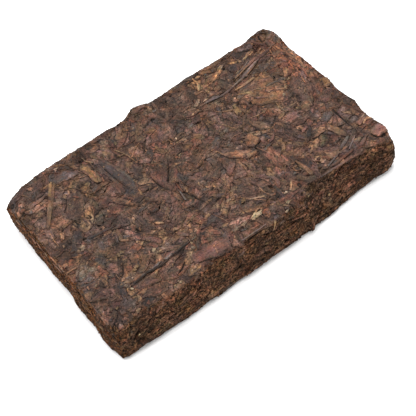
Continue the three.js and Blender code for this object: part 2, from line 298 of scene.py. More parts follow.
class GeometryTree(Nodes):
    """A geometry tree with named inputs: name, socket type and default. Its inputs are
    read by name, as in a dictionary."""

    def __init__(self, name, inputs):
        tree = bpy.data.node_groups.new(name, "GeometryNodeTree")
        super().__init__(tree)
        for label, kind, default in inputs:
            socket = tree.interface.new_socket(label, in_out="INPUT", socket_type=f"NodeSocket{kind}")
            if default is not None:
                socket.default_value = default
        tree.interface.new_socket("Geometry", in_out="OUTPUT", socket_type="NodeSocketGeometry")
        self.given = tree.nodes.new("NodeGroupInput").outputs
        self.end = tree.nodes.new("NodeGroupOutput").inputs[0]

    def __getitem__(self, name):
        return Value(self, self.given[name])

    def position(self):
        return self.result("GeometryNodeInputPosition")

    def store(self, geometry, name, value, kind="FLOAT_VECTOR"):
        inputs = {"Geometry": geometry, "Name": name, "Value": value}
        return self.result("GeometryNodeStoreNamedAttribute", inputs, data_type=kind, domain="POINT")

    def read(self, name):
        return self.result("GeometryNodeInputNamedAttribute", {"Name": name}, data_type="FLOAT_VECTOR")

    def nearest(self, mesh, value, at):
        return self.result("GeometryNodeSampleNearestSurface",
                           {"Mesh": mesh, "Value": value, "Sample Position": at}, data_type="FLOAT_VECTOR")

    def chance(self, what, low, high, kind="FLOAT"):
        """A random number for each point; each thing that is drawn has numbers of its own."""
        return self.result("FunctionNodeRandomValue",
                           {"Min": low, "Max": high, "Seed": self["Seed"] + DRAWS[what]}, data_type=kind)

    def finished(self, geometry):
        smooth = self.result("GeometryNodeSetShadeSmooth", {"Geometry": geometry, "Shade Smooth": True})
        realized = self.result("GeometryNodeRealizeInstances", {"Geometry": smooth})
        self.feed(self.end, self.result("GeometryNodeSetMaterial",
                                        {"Geometry": realized, "Material": self["Material"]}))
        return self.tree


# How one kind of bit is shaped and pressed down. Lengths are in metres.
PRESS_INPUTS = [
    ("Cells Along", "Int", 13), ("Cells Across", "Int", 7), ("Thickness", "Float", 0.14 * MM),
    ("Dome", "Float", 0.0), ("Bluntness Low", "Float", 1.8), ("Bluntness High", "Float", 6.0),
    ("Taper", "Float", 0.3), ("Torn Low", "Float", 0.55), ("Torn High", "Float", 1.05),
    ("Ragged", "Float", 0.4), ("Bend", "Float", 0.12), ("Stiffness", "Int", 2), ("Settle", "Float", 0.95),
    ("Press Height", "Float", 1.2 * MM), ("Reach", "Float", 4 * MM), ("Wrinkle", "Float", 0.12 * MM),
    ("Wrinkle Size", "Float", 2.2 * MM), ("Curl", "Float", 0.6 * MM), ("Sunk", "Float", 0.58),
]
SCATTER_INPUTS = [
    ("Spacing", "Float", 4 * MM), ("Density", "Float", 60000.0), ("Facing Low", "Float", 0.7),
    ("Facing High", "Float", 1.1), ("Length Low", "Float", 8 * MM), ("Length High", "Float", 14 * MM),
    ("Slimness Low", "Float", 0.4), ("Slimness High", "Float", 0.6), ("Turn", "Float", math.pi),
    ("Lift Low", "Float", 0.0), ("Lift High", "Float", 0.4 * MM), ("Colour A", "Color", (0.1, 0.1, 0.1, 1)),
    ("Colour B", "Color", (0.2, 0.2, 0.2, 1)), ("Accent", "Color", (0.3, 0.2, 0.1, 1)),
    ("Accent Share", "Float", 0.15), ("Shade Spread", "Float", 0.42), ("Seed", "Int", 1),
]
SURROUNDINGS = [
    ("Geometry", "Geometry", None), ("Bed Object", "Object", None), ("Skin", "Collection", None),
    ("Material", "Material", None),
]
# What is drawn at random for each strewn bit, and what it adds to the layer's seed
DRAWS = {"turn": 11.0, "length": 23.0, "slimness": 37.0, "lift": 41.0, "shape": 59.0, "blend": 61.0,
         "accent": 67.0, "shade": 71.0}
# How each tear's chance is mixed from a bit's three random numbers
TEARS = ((3.1, 1.7, 0.9), (1.3, 4.1, 2.3), (2.9, 0.7, 5.3), (5.9, 3.3, 1.9))
TIP_WIDTH = 0.1        # how wide a bit is at its tips, against its middle
SHOULDERS = 0.6        # below 1, the outline stays wide for longer
WAVES = (1.6, 1.1)     # waves of a bit's ragged rim, along it and across it
APART = 90.0           # how far apart the noise of two bits is read
MORE_SHORT = 1.7       # above 1, most strewn bits are short and few are long
LEVEL_GROUND = 0.85    # how far up the ground looks where bits may lie in any direction
SOFT_STOP = 0.4 * MM   # how softly the press stops what would stand too high
FLOOR_GAP = 0.02 * MM  # how far over the floor every bit stays


class Bit:
    """What each point of a sheet knows: where on its bit it is, from -1 to 1 along and
    across, how near the rim, and the bit's own half sizes, lift and random numbers."""

    def __init__(self, t):
        u, v, _ = t.split(t.read("bit_uv"))
        self.half_length, self.half_width, self.lift = t.split(t.read("bit_size"))
        self.rand = first, second, third = t.split(t.read("bit_rand"))
        # cells grow narrow towards the rim
        self.u = t.math("SINE", u * (math.pi / 2))
        self.v = t.math("SINE", v * (math.pi / 2))
        self.reach = t.math("MAXIMUM", abs(u), abs(v))
        self.noise_at = t.combine(self.u * WAVES[0] + first * APART, self.v * WAVES[1] + second * APART,
                                  third * APART)


def torn_share(t, bit, width):
    """How much of a bit's reach is left where straight tears cut off its rim: each tear
    is a line across the bit, at a random angle and distance from its middle."""
    first, second, third = bit.rand
    left = 1.0
    for mix_a, mix_b, mix_c in TEARS:
        chance = first * mix_a + (second * mix_b + third * mix_c)
        angle = chance * math.tau
        limit = t.mapped(t.math("FRACT", chance * 5.0), 0.0, 1.0, t["Torn Low"], t["Torn High"], smooth=False)
        towards = bit.u * t.math("COSINE", angle) + bit.v * width * t.math("SINE", angle)
        at_rim = towards / t.math("MAXIMUM", bit.reach, 0.01)
        left = t.math("MINIMUM", left, limit / t.math("MAXIMUM", at_rim, limit))
    return left


def outline(t, bit):
    """How far along and across its bit a point lies: the bit is blunt or pointed, slimmer
    at one end, torn, ragged and bent."""
    first, second, third = bit.rand
    blunt = t.mapped(third, 0.0, 1.0, t["Bluntness Low"], t["Bluntness High"], smooth=False)
    profile = t.math("SUBTRACT", 1.0, abs(bit.u) ** blunt, clamp=True) ** SHOULDERS
    width = profile * (1.0 - bit.u * first * t["Taper"]) + TIP_WIDTH
    tear = t.noise(bit.noise_at, 1.5, 3.0, 0.65, key="Color") - (0.5, 0.5, 0.5)
    tear_x, tear_y, _ = t.split(tear * (t["Ragged"] * 4.0))
    bow = (bit.u * bit.u - 0.35) * ((second - 0.5) * (t["Bend"] * 2.0))
    kept = torn_share(t, bit, width)
    x = bit.u * kept * bit.half_length + tear_x * bit.half_width
    y = bit.v * width * kept * bit.half_width + (tear_y * (bit.half_width * 0.8) + bow * bit.half_length)
    return x, y


def rested(t, bit, x, y):
    """Drops a point on the bed, then lifts it on what lies there already. Gives its foot
    on the bed, the direction out of the bed, and its height."""
    along = t.read("bit_along")
    across = t.vector("CROSS_PRODUCT", t.read("bit_out"), along)
    loose = t.read("bit_at") + (along * x + across * y)
    foot = t.nearest(t["Bed"], t.position(), loose)
    out_of_bed = t.vector("NORMALIZE", t.nearest(t["Bed"], t.read("bed_out"), loose))
    ray = t.add("GeometryNodeRaycast",
                {"Target Geometry": t["Under"], "Source Position": foot + out_of_bed * t["Reach"],
                 "Ray Direction": out_of_bed * -1.0, "Ray Length": t["Reach"] * 2.0})
    found = (t["Reach"] - t.out(ray, "Hit Distance")) * t.out(ray, "Is Hit")
    eased = t.result("GeometryNodeBlurAttribute", {"Value": found, "Iterations": t["Stiffness"]},
                     data_type="FLOAT")
    level = t.math("SMOOTH_MIN", eased * t["Settle"] + bit.lift, t["Press Height"], SOFT_STOP)
    return foot, out_of_bed, level


def rim_and_folds(t, bit, x, y):
    """What wrinkles along a bit and a rim that is partly sunk and partly loose add to its
    height; and at the rim, how much painted shade darkens it where it is sunk, and how much
    it is lightened where it stands loose, as wear and as a painted highlight."""
    own_size = t.combine(x, y * 2.0, bit.rand[2] * 0.3) * (1.0 / t["Wrinkle Size"])
    folds = (t.noise(own_size, 1.0, 2.0, 0.55) - 0.5) * (t["Wrinkle"] * 4.0)
    loosened = t.noise(bit.noise_at + (7.0, 3.0, 5.0), 0.9, 2.0, 0.5)
    curl = t.mapped(bit.reach, 0.35, 1.0) * ((loosened - t["Sunk"]) * t["Curl"])
    at_rim = t.mapped(bit.reach, 0.72, 0.97)
    # Painted shade where the rim sinks under what lies there
    sunk_shade = at_rim * t.mapped(t["Sunk"] - loosened, 0.06, 0.2, 0.0, 0.3)
    # Lighter where the rim stands loose: wear, and a painted highlight
    worn = at_rim * t.mapped(loosened - t["Sunk"], -0.08, 0.04)
    return folds, curl, sunk_shade, worn


def closed_sheet(t, bit, sheet, foot, out_of_bed, height):
    """Two sheets that meet all round the rim, the lower one at the height given."""
    inner = t.math("LESS_THAN", bit.reach, 0.999)
    rounding = t.math("SQRT", t.math("SUBTRACT", 1.0, bit.v * bit.v, clamp=True))
    thick = inner * (t["Thickness"] + rounding * t["Dome"])
    kept = t.store(sheet, "bit_rise", out_of_bed * thick)
    kept = t.store(kept, "bit_foot", foot + out_of_bed * height)
    kept = t.store(kept, "bed_out", out_of_bed)
    under_side = t.result("GeometryNodeSetPosition", {"Geometry": kept, "Position": t.read("bit_foot")})
    upper_side = t.result("GeometryNodeSetPosition", {"Geometry": under_side, "Offset": t.read("bit_rise")})
    joined = t.add("GeometryNodeJoinGeometry")
    t.feed(joined.inputs[0], upper_side)
    t.feed(joined.inputs[0], t.result("GeometryNodeFlipFaces", {"Mesh": under_side}))
    closed = t.result("GeometryNodeMergeByDistance", {"Geometry": t.out(joined), "Distance": 0.002 * MM})
    for name in ("bit_at", "bit_out", "bit_along", "bit_rise", "bit_foot"):
        closed = t.result("GeometryNodeRemoveAttribute", {"Geometry": closed, "Name": name})
    x_now, y_now, z_now = t.split(t.position())
    above_floor = t.combine(x_now, y_now, t.math("MAXIMUM", z_now, FLOOR_GAP))
    return t.result("GeometryNodeSetPosition", {"Geometry": closed, "Position": above_floor})


def press_tree():
    """Lays a sheet at each point, bends it over the bed and over what lies there already,
    and closes it into a thin solid. Points carry where they are, the direction out of
    the bed, their own direction, half sizes and lift, three random numbers and a tint."""
    t = GeometryTree("Press bits", [("Points", "Geometry", None), ("Bed", "Geometry", None),
                                    ("Under", "Geometry", None), ("Material", "Material", None),
                                     *PRESS_INPUTS])
    grid = t.result("GeometryNodeMeshGrid", {"Size X": 2.0, "Size Y": 2.0, "Vertices X": t["Cells Along"],
                                             "Vertices Y": t["Cells Across"]}, key="Mesh")
    flat = t.store(grid, "bit_uv", t.position())
    points = t.store(t["Points"], "bit_at", t.position())
    laid = t.result("GeometryNodeInstanceOnPoints", {"Points": points, "Instance": flat})
    sheet = t.result("GeometryNodeRealizeInstances", {"Geometry": laid})

    bit = Bit(t)
    x, y = outline(t, bit)
    foot, out_of_bed, level = rested(t, bit, x, y)
    folds, curl, sunk_shade, worn = rim_and_folds(t, bit, x, y)
    # The sunk rim is kept to be painted dark as shade, the loose rim to be painted lighter as wear and
    # highlight
    sheet = t.store(t.store(sheet, "deep", sunk_shade, "FLOAT"), "worn", worn, "FLOAT")
    return t.finished(closed_sheet(t, bit, sheet, foot, out_of_bed, level + folds + curl))


def pressed(t, press_group, points):
    """Ends a tree in the press group, which it feeds from its inputs of the same names."""
    press = t.add("GeometryNodeGroup", node_tree=press_group)
    for label, _, _ in PRESS_INPUTS:
        t.feed(press.inputs[label], t[label])
    skin = t.result("GeometryNodeCollectionInfo", {"Collection": t["Skin"]}, transform_space="RELATIVE")
    bed = t.result("GeometryNodeObjectInfo", {"Object": t["Bed Object"]}, "Geometry",
                   transform_space="RELATIVE")
    under = t.add("GeometryNodeJoinGeometry")
    t.feed(under.inputs[0], t.result("GeometryNodeRealizeInstances", {"Geometry": skin}))
    t.feed(under.inputs[0], bed)
    given = (("Under", t.out(under)), ("Bed", bed), ("Points", points), ("Material", t["Material"]))
    for label, value in given:
        t.feed(press.inputs[label], value)
    t.feed(t.end, t.out(press))
    return t.tree


def scatter_tree(press_group):
    """Strews bits over the part of the bed that faces the right way, and presses them."""
    t = GeometryTree("Scatter bits", [*SURROUNDINGS, *SCATTER_INPUTS, *PRESS_INPUTS])
    facing = t.split(t.read("bed_out"))[2]
    wanted = t.math("GREATER_THAN", facing, t["Facing Low"]) * t.math("LESS_THAN", facing, t["Facing High"])
    strewn = t.result("GeometryNodeDistributePointsOnFaces",
                      {"Mesh": t["Geometry"], "Distance Min": t["Spacing"], "Density Max": t["Density"],
                       "Density Factor": wanted, "Seed": t["Seed"]}, "Points", distribute_method="POISSON")
    points = t.store(strewn, "bit_out", t.vector("NORMALIZE", t.read("bed_out")))

    # on a wall a bit lies along the layers, give or take its turn
    out = t.read("bit_out")
    is_flat = t.math("GREATER_THAN", abs(t.split(out)[2]), LEVEL_GROUND)
    level = t.vector("CROSS_PRODUCT", (0.0, 0.0, 1.0), out)
    base = t.result("GeometryNodeSwitch", {"Switch": is_flat, "False": level, "True": (1.0, 0.0, 0.0)},
                    input_type="VECTOR")
    turned = t.result("ShaderNodeVectorRotate",
                      {"Vector": base, "Axis": out, "Angle": t.chance("turn", -1.0, 1.0) * t["Turn"]},
                      rotation_type="AXIS_ANGLE")
    points = t.store(points, "bit_along", t.vector("NORMALIZE", turned))

    length = t.mapped(t.chance("length", 0.0, 1.0) ** MORE_SHORT, 0.0, 1.0, t["Length Low"], t["Length High"],
                      smooth=False)
    half = length * 0.5
    slim = t.chance("slimness", t["Slimness Low"], t["Slimness High"])
    lift = t.chance("lift", t["Lift Low"], t["Lift High"])
    points = t.store(points, "bit_size", t.combine(half, half * slim, lift))
    points = t.store(points, "bit_rand", t.chance("shape", (0.0,) * 3, (1.0,) * 3, "FLOAT_VECTOR"))

    common = t.mixed(t.chance("blend", 0.0, 1.0), t["Colour A"], t["Colour B"])
    rare = t.math("LESS_THAN", t.chance("accent", 0.0, 1.0), t["Accent Share"])
    shade = 1.0 + t.chance("shade", -1.0, 1.0) * t["Shade Spread"]
    points = t.store(points, "bit_tint", t.mixed(rare, common, t["Accent"]) * shade, "FLOAT_COLOR")
    return pressed(t, press_group, points)


def placed_tree(press_group):
    """Presses bits whose places, sizes and tints are given by the points themselves."""
    t = GeometryTree("Placed bits", [*SURROUNDINGS, *PRESS_INPUTS])
    points = t.result("GeometryNodeMeshToPoints", {"Mesh": t["Geometry"]})
    return pressed(t, press_group, points)


def core_tree():
    """Roughens the core in crumbs and layers; the underside stays calm."""
    t = GeometryTree("Core relief", [("Geometry", "Geometry", None), ("Crumble", "Float", 0.5 * MM),
                                     ("Material", "Material", None)])
    out = t.read("bed_out")
    layered = t.position() * (1.0, 1.0, 2.6)
    coarse = t.noise(layered, 230.0, 3.0, 0.6) - 0.5
    fine = t.noise(layered, 700.0, 2.0, 0.6) - 0.5
    relief = (coarse * 2.0 + fine) * t["Crumble"]
    calm = t.mapped(t.split(out)[2], -0.95, -0.6)
    return t.finished(t.result("GeometryNodeSetPosition",
                               {"Geometry": t["Geometry"], "Offset": out * (relief * calm)}))


# ---------------------------------------------------------------- materials

# The ground colour of the whole brick: what each colour's drift over it is like, as scale,
# where it begins and is full, and shift; and how strong the colour is there
GROUND = (
    ("bark", 170.0, 0.38, 0.62, (0.3, 0.7, 0.1), 1.0), ("plum", 85.0, 0.5, 0.66, (0.1, 0.2, 0.9), 0.7),
    ("honey", 95.0, 0.52, 0.7, (0.8, 0.4, 0.3), 0.75), ("wine", 130.0, 0.55, 0.7, (0.5, 0.1, 0.6), 0.7),
    ("moss", 150.0, 0.57, 0.72, (0.2, 0.9, 0.4), 0.7),
)
# The fields of noise that break a colour up: how fine (for grit and pits, against the
# grit of the look), detail, roughness, and a shift that sets each apart from the rest
# The glints field paints pale highlights; the cracks and pits are painted dark as shade
FIELDS = {
    "clumps": (150.0, 2.0, 0.5, (0.6, 0.2, 0.5)), "folds": (330.0, 3.0, 0.6, (0.0, 0.0, 0.0)),
    "fibres": (1000.0, 3.0, 0.65, (0.2, 0.4, 0.6)), "grit": (1.0, 3.0, 0.8, (0.3, 0.1, 0.2)),
    "warm clumps": (230.0, 2.0, 0.5, (0.2, 0.5, 0.1)), "warm specks": (900.0, 3.0, 0.7, (0.4, 0.1, 0.3)),
    "red clumps": (280.0, 2.0, 0.5, (0.9, 0.5, 0.2)), "red fibres": (800.0, 2.0, 0.6, (0.1, 0.0, 0.3)),
    "glints": (1300.0, 2.0, 0.6, (0.7, 0.2, 0.6)), "cracks": (260.0, 4.0, 0.62, (0.9, 0.6, 0.4)),
    "cracked areas": (140.0, 2.0, 0.5, (0.6, 0.3, 0.8)), "pits": (0.8, 3.0, 0.75, (0.5, 0.8, 0.7)),
}
WARMER = (0.18, -0.02, -0.25)     # what warmth adds to red, green and blue
REDDER = (0.1, -0.12, -0.02)
WALL_TINT = (1.2, 1.1, 0.9)       # the walls' colour against the top's
FIBRE_STRETCH = (0.14, 1.3, 1.0)  # how fine a leaf's grain is along it and across it
WORN_AND_LIT_LIGHTER = 0.35               # how much lighter a rim is that stands proud: wear, and a painted highlight where it catches the light
# The most the fine grain may lighten the colour; where it lightens, the bump stands high, so this is partly
# painted light
BRIGHTEST_GRAIN = 0.45
# How much pale mist is painted into the glints, which stand in for highlights
PAINTED_GLINT_SHARE = 0.5
PIT_EDGE = 0.08                   # how soft the edge of a pit is
BUMP_DEPTH = 0.45 * MM
GLOSS, DUSTY_GLOSS = 0.3, 0.1
TOP_GRIT, WALL_GRIT = 1200.0, 950.0  # how fine the grit is, in grains to the metre


class Look(NamedTuple):
    """How one kind of leaf is finished."""
    own: float           # how much of a bit's own tint shows in its middle
    fade: float          # how far out from the middle the tint is full
    # Contrast and crisp set how far the tone follows the same noise as the bump: partly the leaves' own
    # mottling, partly painted shade in the hollows and painted light on the heights. Pitted sets how dark the
    # painted shade in cracks and pits is.
    contrast: float      # of clumps and folds
    crisp: float         # the contrast of fibres and grit
    pitted: float        # how dark cracks and pits are
    grit: float
    rough: tuple         # roughness of the heights and of the depths
    hue: float = 1.0     # how much warmth varies
    pits: float = 0.4    # how many pits there are
    gloss: float = GLOSS


LOOKS = {
    "dark leaf": Look(0.86, 0.68, 2.2, 2.9, 0.7, TOP_GRIT, (0.42, 0.75)),
    "smooth leaf": Look(0.88, 0.72, 2.0, 2.1, 0.15, TOP_GRIT, (0.36, 0.65)),
    "pale leaf": Look(0.88, 0.75, 1.9, 2.2, 0.2, TOP_GRIT, (0.5, 0.75)),
    "stem": Look(0.9, 0.85, 1.8, 2.0, 0.15, TOP_GRIT, (0.42, 0.7)),
    "wall leaf": Look(0.6, 0.5, 1.8, 6.0, 1.0, WALL_GRIT, (0.6, 0.9), 0.6, 0.48, DUSTY_GLOSS),
    "crumbled leaf": Look(0.0, 0.0, 1.7, 6.0, 1.0, WALL_GRIT, (0.65, 0.9), 0.6, 0.48, DUSTY_GLOSS),
}


def plain_material(name):
    material = bpy.data.materials.new(name)
    material.use_nodes = True
    shader = next(n for n in material.node_tree.nodes if n.type == "BSDF_PRINCIPLED")
    return material, Nodes(material.node_tree), shader


def object_place(n):
    return n.result("ShaderNodeTexCoord", key="Object")


def shared_ground(n, place):
    """Colour that drifts over the whole brick, whatever leaf lies there."""
    ground = colour("umber")
    for name, scale, begins, full, shift, strength in GROUND:
        share = n.mapped(n.noise(place + shift, scale, 3.0, 0.6), begins, full)
        ground = n.mixed(share * strength, ground, colour(name))
    return ground


def grained(n, place, fibre_place, ground, look):
    """A colour broken up by clumps, folds and grit that run through the whole brick, and by
    the fibres, cracks and pits of each leaf, which follow fibre_place. The tone follows the
    same noise as the bump, so it is partly the leaves' own mottling and partly painted shade
    in the hollows and painted light on the heights; pale painted glints are mixed in, and
    cracks, pits, crevices and sunk rims are painted with ink as shade. Gives the colour
    and how high each place stands, 0 to 1."""
    def field(name, where, finer=1.0):
        scale, detail, roughness, shift = FIELDS[name]
        return n.noise(where + shift, scale * finer, detail, roughness)

    def swing(name, where, share, finer=1.0):
        return n.mapped(field(name, where, finer), 0.3, 0.7, -1.0, 1.0, smooth=False) * share

    broad = swing("clumps", place, 0.55) + swing("folds", place, 0.32)
    fine = swing("fibres", fibre_place, 0.6) + swing("grit", place, 0.9, look.grit)
    # The tone: darker where the bump is low and lighter where it is high, partly own mottling and partly
    # painted shade and light
    tone = look.contrast ** broad * look.crisp ** n.math("SMOOTH_MIN", fine, BRIGHTEST_GRAIN, 0.5)
    warm = swing("warm clumps", place, 0.6) + swing("warm specks", place, 0.6)
    red = swing("red clumps", place, 0.5) + swing("red fibres", fibre_place, 0.6)
    warmer = tuple(look.hue * x for x in WARMER)
    cast = n.vector("MULTIPLY_ADD", n.combine(warm, warm, warm), warmer, (1.0, 1.0, 1.0))
    cast = n.vector("MULTIPLY_ADD", n.combine(red, red, red), REDDER, cast)
    body = ground * cast * tone

    # Painted glints: pale mist specks that stand in for highlights
    painted_glint = n.mapped(field("glints", fibre_place), 0.64, 0.76)
    body = n.mixed(painted_glint * PAINTED_GLINT_SHARE, body, colour("mist"))
    # Painted shade: ink in the cracks and pits, and where crevices and sunk rims lie deep
    on_crack = n.mapped(abs(field("cracks", fibre_place) - 0.5), 0.02, 0.005)
    cracked = on_crack * n.mapped(field("cracked areas", place), 0.5, 0.75, 0.0, 0.7)
    pit = n.mapped(field("pits", place, look.grit), look.pits, look.pits - PIT_EDGE)
    sunk_shade = n.mapped(n.attribute("deep", "Fac"), 0.15, 0.7)
    dark = n.math("MAXIMUM", n.math("MAXIMUM", cracked, pit) * look.pitted, sunk_shade)
    height = n.mapped(broad + fine, -1.0, 1.0, smooth=False) * (1.0 - dark)
    return n.mixed(dark, body, colour("ink")), height


def wall_browned(n, place, base):
    """Colour drawn towards the walls' own where the surface turns down off the top."""
    facing = n.split(n.attribute("bed_out"))[2]
    uneven = n.mapped(n.noise(place, 400.0, 3.0, 0.6), 0.3, 0.7, -0.07, 0.07, smooth=False)
    on_wall = n.mapped(facing + uneven, 0.86, 0.68) * n.mapped(facing, -0.9, -0.6)
    return n.mixed(on_wall, base, base * WALL_TINT)


def leaf_finish(n, shader, place, fibre_place, ground, look):
    """Feeds a shader the grain, the bump and the gloss that every kind of leaf has."""
    base, height = grained(n, place, fibre_place, ground * n.attribute("cast"), look)
    n.feed(shader.inputs["Base Color"], wall_browned(n, place, base))
    n.feed(shader.inputs["Roughness"], n.mapped(height, 0.2, 0.9, look.rough[1], look.rough[0], smooth=False))
    bump = n.result("ShaderNodeBump", {"Height": height, "Strength": 1.0, "Distance": BUMP_DEPTH})
    n.feed(shader.inputs["Normal"], bump)
    shader.inputs["Specular IOR Level"].default_value = look.gloss


def leaf_material(name, look):
    """Dried leaf or stem: each bit's own tint, streaked along it, that fades towards its
    rim into the colour of what it is pressed into."""
    material, n, shader = plain_material(name)
    place = object_place(n)
    uv = n.attribute("bit_uv")
    fibre_place = uv * n.attribute("bit_size") * FIBRE_STRETCH + n.attribute("bit_rand")
    u, v, _ = n.split(uv)
    reach = n.math("SINE", n.math("MAXIMUM", abs(u), abs(v)) * (math.pi / 2))
    ragged = n.mapped(n.noise(place, 600.0, 3.0, 0.65), 0.3, 0.7, -0.2, 0.2, smooth=False)
    share = n.mapped(reach + ragged, 1.0, look.fade) * look.own
    ground = n.mixed(share, shared_ground(n, place), n.attribute("bit_tint", "Color"))
    # Loose, proud rims are made lighter: wear, and a painted highlight
    ground = ground * (1.0 + n.attribute("worn", "Fac") * WORN_AND_LIT_LIGHTER)
    leaf_finish(n, shader, place, fibre_place, ground, look)
    return material


def core_material(name, look):
    """What shows between the leaves and on the walls: leaf broken into crumbs."""
    material, n, shader = plain_material(name)
    place = object_place(n)
    leaf_finish(n, shader, place, place, n.mixed(0.5, shared_ground(n, place), colour("earth")), look)
    return material


def finish_named(name):
    """The material of a look, made when it is first asked for."""
    make = core_material if name == "crumbled leaf" else leaf_material
    return bpy.data.materials.get(name) or make(name, LOOKS[name])


def floor_material():
    material, n, shader = plain_material("pale floor")
    cloud = n.noise(object_place(n), 3.0, 2.0)
    n.feed(shader.inputs["Base Color"], n.mixed(cloud, (0.96, 0.96, 0.96, 1), (0.97, 0.97, 0.97, 1)))
    shader.inputs["Roughness"].default_value = 0.9
    return material


# ---------------------------------------------------------------- making pieces

def skin_collection():
    made = bpy.data.collections.get(SKIN)
    if made is None:
        made = bpy.data.collections.new(SKIN)
        bpy.context.scene.collection.children.link(made)
    return made


def linked_object(name, mesh, collection=None):
    obj = bpy.data.objects.new(name, mesh)
    (collection or bpy.context.scene.collection).objects.link(obj)
    return obj


def evaluated_mesh(obj):
    """The object's mesh with its modifiers in it; the modifiers are then removed."""
    graph = bpy.context.evaluated_depsgraph_get()
    mesh = bpy.data.meshes.new_from_object(obj.evaluated_get(graph), preserve_all_data_layers=True,
                                           depsgraph=graph)
    obj.modifiers.clear()
    return mesh


def set_inputs(modifier, values):
    """Sets a geometry tree's inputs by their identifiers."""
    for item in modifier.node_group.interface.items_tree:
        if item.item_type == "SOCKET" and item.in_out == "INPUT" and item.name in values:
            modifier[item.identifier] = values[item.name]


def grown(name, base_mesh, tree, values):
    """A plain object made by a geometry tree from a base mesh."""
    maker = linked_object("maker", base_mesh)
    modifier = maker.modifiers.new("grow", "NODES")
    modifier.node_group = tree
    set_inputs(modifier, values)
    mesh = evaluated_mesh(maker)
    bpy.data.objects.remove(maker)
    if not mesh.polygons:
        raise RuntimeError(f"{name} came out empty")
    mesh.name = name
    return linked_object(name, mesh, skin_collection())


def node_copy():
    """The brick's solid as one joined mesh, to be remade finer."""
    mesh = frame["nodes"][NODE].data.copy()
    shell = bmesh.new()
    shell.from_mesh(mesh)
    bmesh.ops.remove_doubles(shell, verts=shell.verts, dist=0.001 * MM)
    shell.to_mesh(mesh)
    shell.free()
    mesh.materials.clear()
    return mesh


SMOOTHING = 0.5       # how strong one round of smoothing is
DIRECTION_ROUNDS = 4  # how much more the version is smoothed that the directions come from


def remade(name, voxel, rounds, inset):
    """A copy of the brick's solid in even cells, smoothed and drawn in a little. Its
    points keep the direction out of a smoother version, which turns softly at the rims."""
    obj = linked_object(name, node_copy())
    remesh = obj.modifiers.new("cells", "REMESH")
    remesh.mode = "VOXEL"
    remesh.voxel_size = voxel
    obj.data = evaluated_mesh(obj)

    def smoothed(iterations, drawn_in):
        smooth = obj.modifiers.new("smooth", "SMOOTH")
        smooth.factor = SMOOTHING
        smooth.iterations = iterations
        inset_by = obj.modifiers.new("inset", "DISPLACE")
        inset_by.strength = -drawn_in
        inset_by.mid_level = 0.0
        return evaluated_mesh(obj)

    directions = [x for vertex in smoothed(rounds * DIRECTION_ROUNDS, 0.0).vertices for x in vertex.normal]
    obj.data = smoothed(rounds, inset)
    for vertex in obj.data.vertices:
        vertex.co.z = max(vertex.co.z, LOWEST)
    obj.data.update()
    out = obj.data.attributes.new("bed_out", "FLOAT_VECTOR", "POINT")
    out.data.foreach_set("vector", directions)
    casts = [cast_at(vertex.co, out.data[i].vector) for i, vertex in enumerate(obj.data.vertices)]
    cast = obj.data.attributes.new("cast", "FLOAT_VECTOR", "POINT")
    cast.data.foreach_set("vector", [value for row in casts for value in row])
    return obj


END_WALL_CAST = (1.04, 0.85, 0.53)
ZONE_REACH = 36.0  # mm from its middle over which an area can be told
# How squarely a place faces up, or towards the left end, where it begins to count as on
# the top or that wall, and how much more until it wholly does
ONTO_TOP = (0.3, 0.4)
ONTO_END = (0.5, 0.3)


def blended(value, begins, over):
    """How far a value is past where it begins to count, from 0 to 1."""
    return min(1.0, max(0.0, (value - begins) / over))


def cast_at(place, out):
    """How the leaves at a place differ in colour from the usual: by the areas of the top,
    and over all of the wall at the brick's left end."""
    cast = [1.0, 1.0, 1.0]
    on_top = blended(out[2], *ONTO_TOP)
    if on_top == 0.0:
        at_end = blended(-out[0], *ONTO_END)
        return [1.0 + at_end * (tint - 1.0) for tint in END_WALL_CAST]
    for x, y, length, width, angle, name in ZONES:
        dx, dy = place.x / MM - x, place.y / MM - y
        if abs(dx) > ZONE_REACH or abs(dy) > ZONE_REACH:
            continue
        turn = math.radians(angle)
        along = (dx * math.cos(turn) + dy * math.sin(turn)) / (0.5 * length)
        across = (dy * math.cos(turn) - dx * math.sin(turn)) / (0.5 * width)
        share = on_top / (1.0 + (along * along + across * across) ** 2)
        cast = [so_far * (1.0 + share * (tint - 1.0)) for so_far, tint in zip(cast, CASTS[name])]
    return cast


def rounded_path(points, steps=16):
    """A curve through a few points, as a Catmull-Rom spline."""
    padded = [points[0], *points, points[-1]]
    path = []
    for a, b, c, d in zip(padded, padded[1:], padded[2:], padded[3:]):
        for i in range(steps):
            t = i / steps
            path.append(tuple(
                0.5 * (2 * b[k] + (c[k] - a[k]) * t + (2 * a[k] - 5 * b[k] + 4 * c[k] - d[k]) * t * t
                       + (3 * b[k] - a[k] - 3 * c[k] + d[k]) * t ** 3) for k in range(2)))
    return [*path, tuple(points[-1])]


HOLE_REACH = 0.3  # how far out the ring lies from which a hole sinks, in the hole's own sizes


def hole_outline(x, y, length, width, angle, sides=12):
    """Points in a ring inside the edge of a small hole."""
    turn = math.radians(angle)
    outline = []
    for i in range(sides + 1):
        around = math.tau * i / sides
        along, across = HOLE_REACH * length * math.cos(around), HOLE_REACH * width * math.sin(around)
        outline.append((x + along * math.cos(turn) - across * math.sin(turn),
                        y + along * math.sin(turn) + across * math.cos(turn)))
    return outline


# Where the search for a place on the bed starts, and where one just outside the rim or
# past the near wall is looked for instead, and how far from there the bed may be (mm)
FROM_ABOVE, FROM_NEAR = 60.0, -90.0
RIM_HEIGHT, NEAR_WALL = 16.0, -46.0
MISS = 6.0


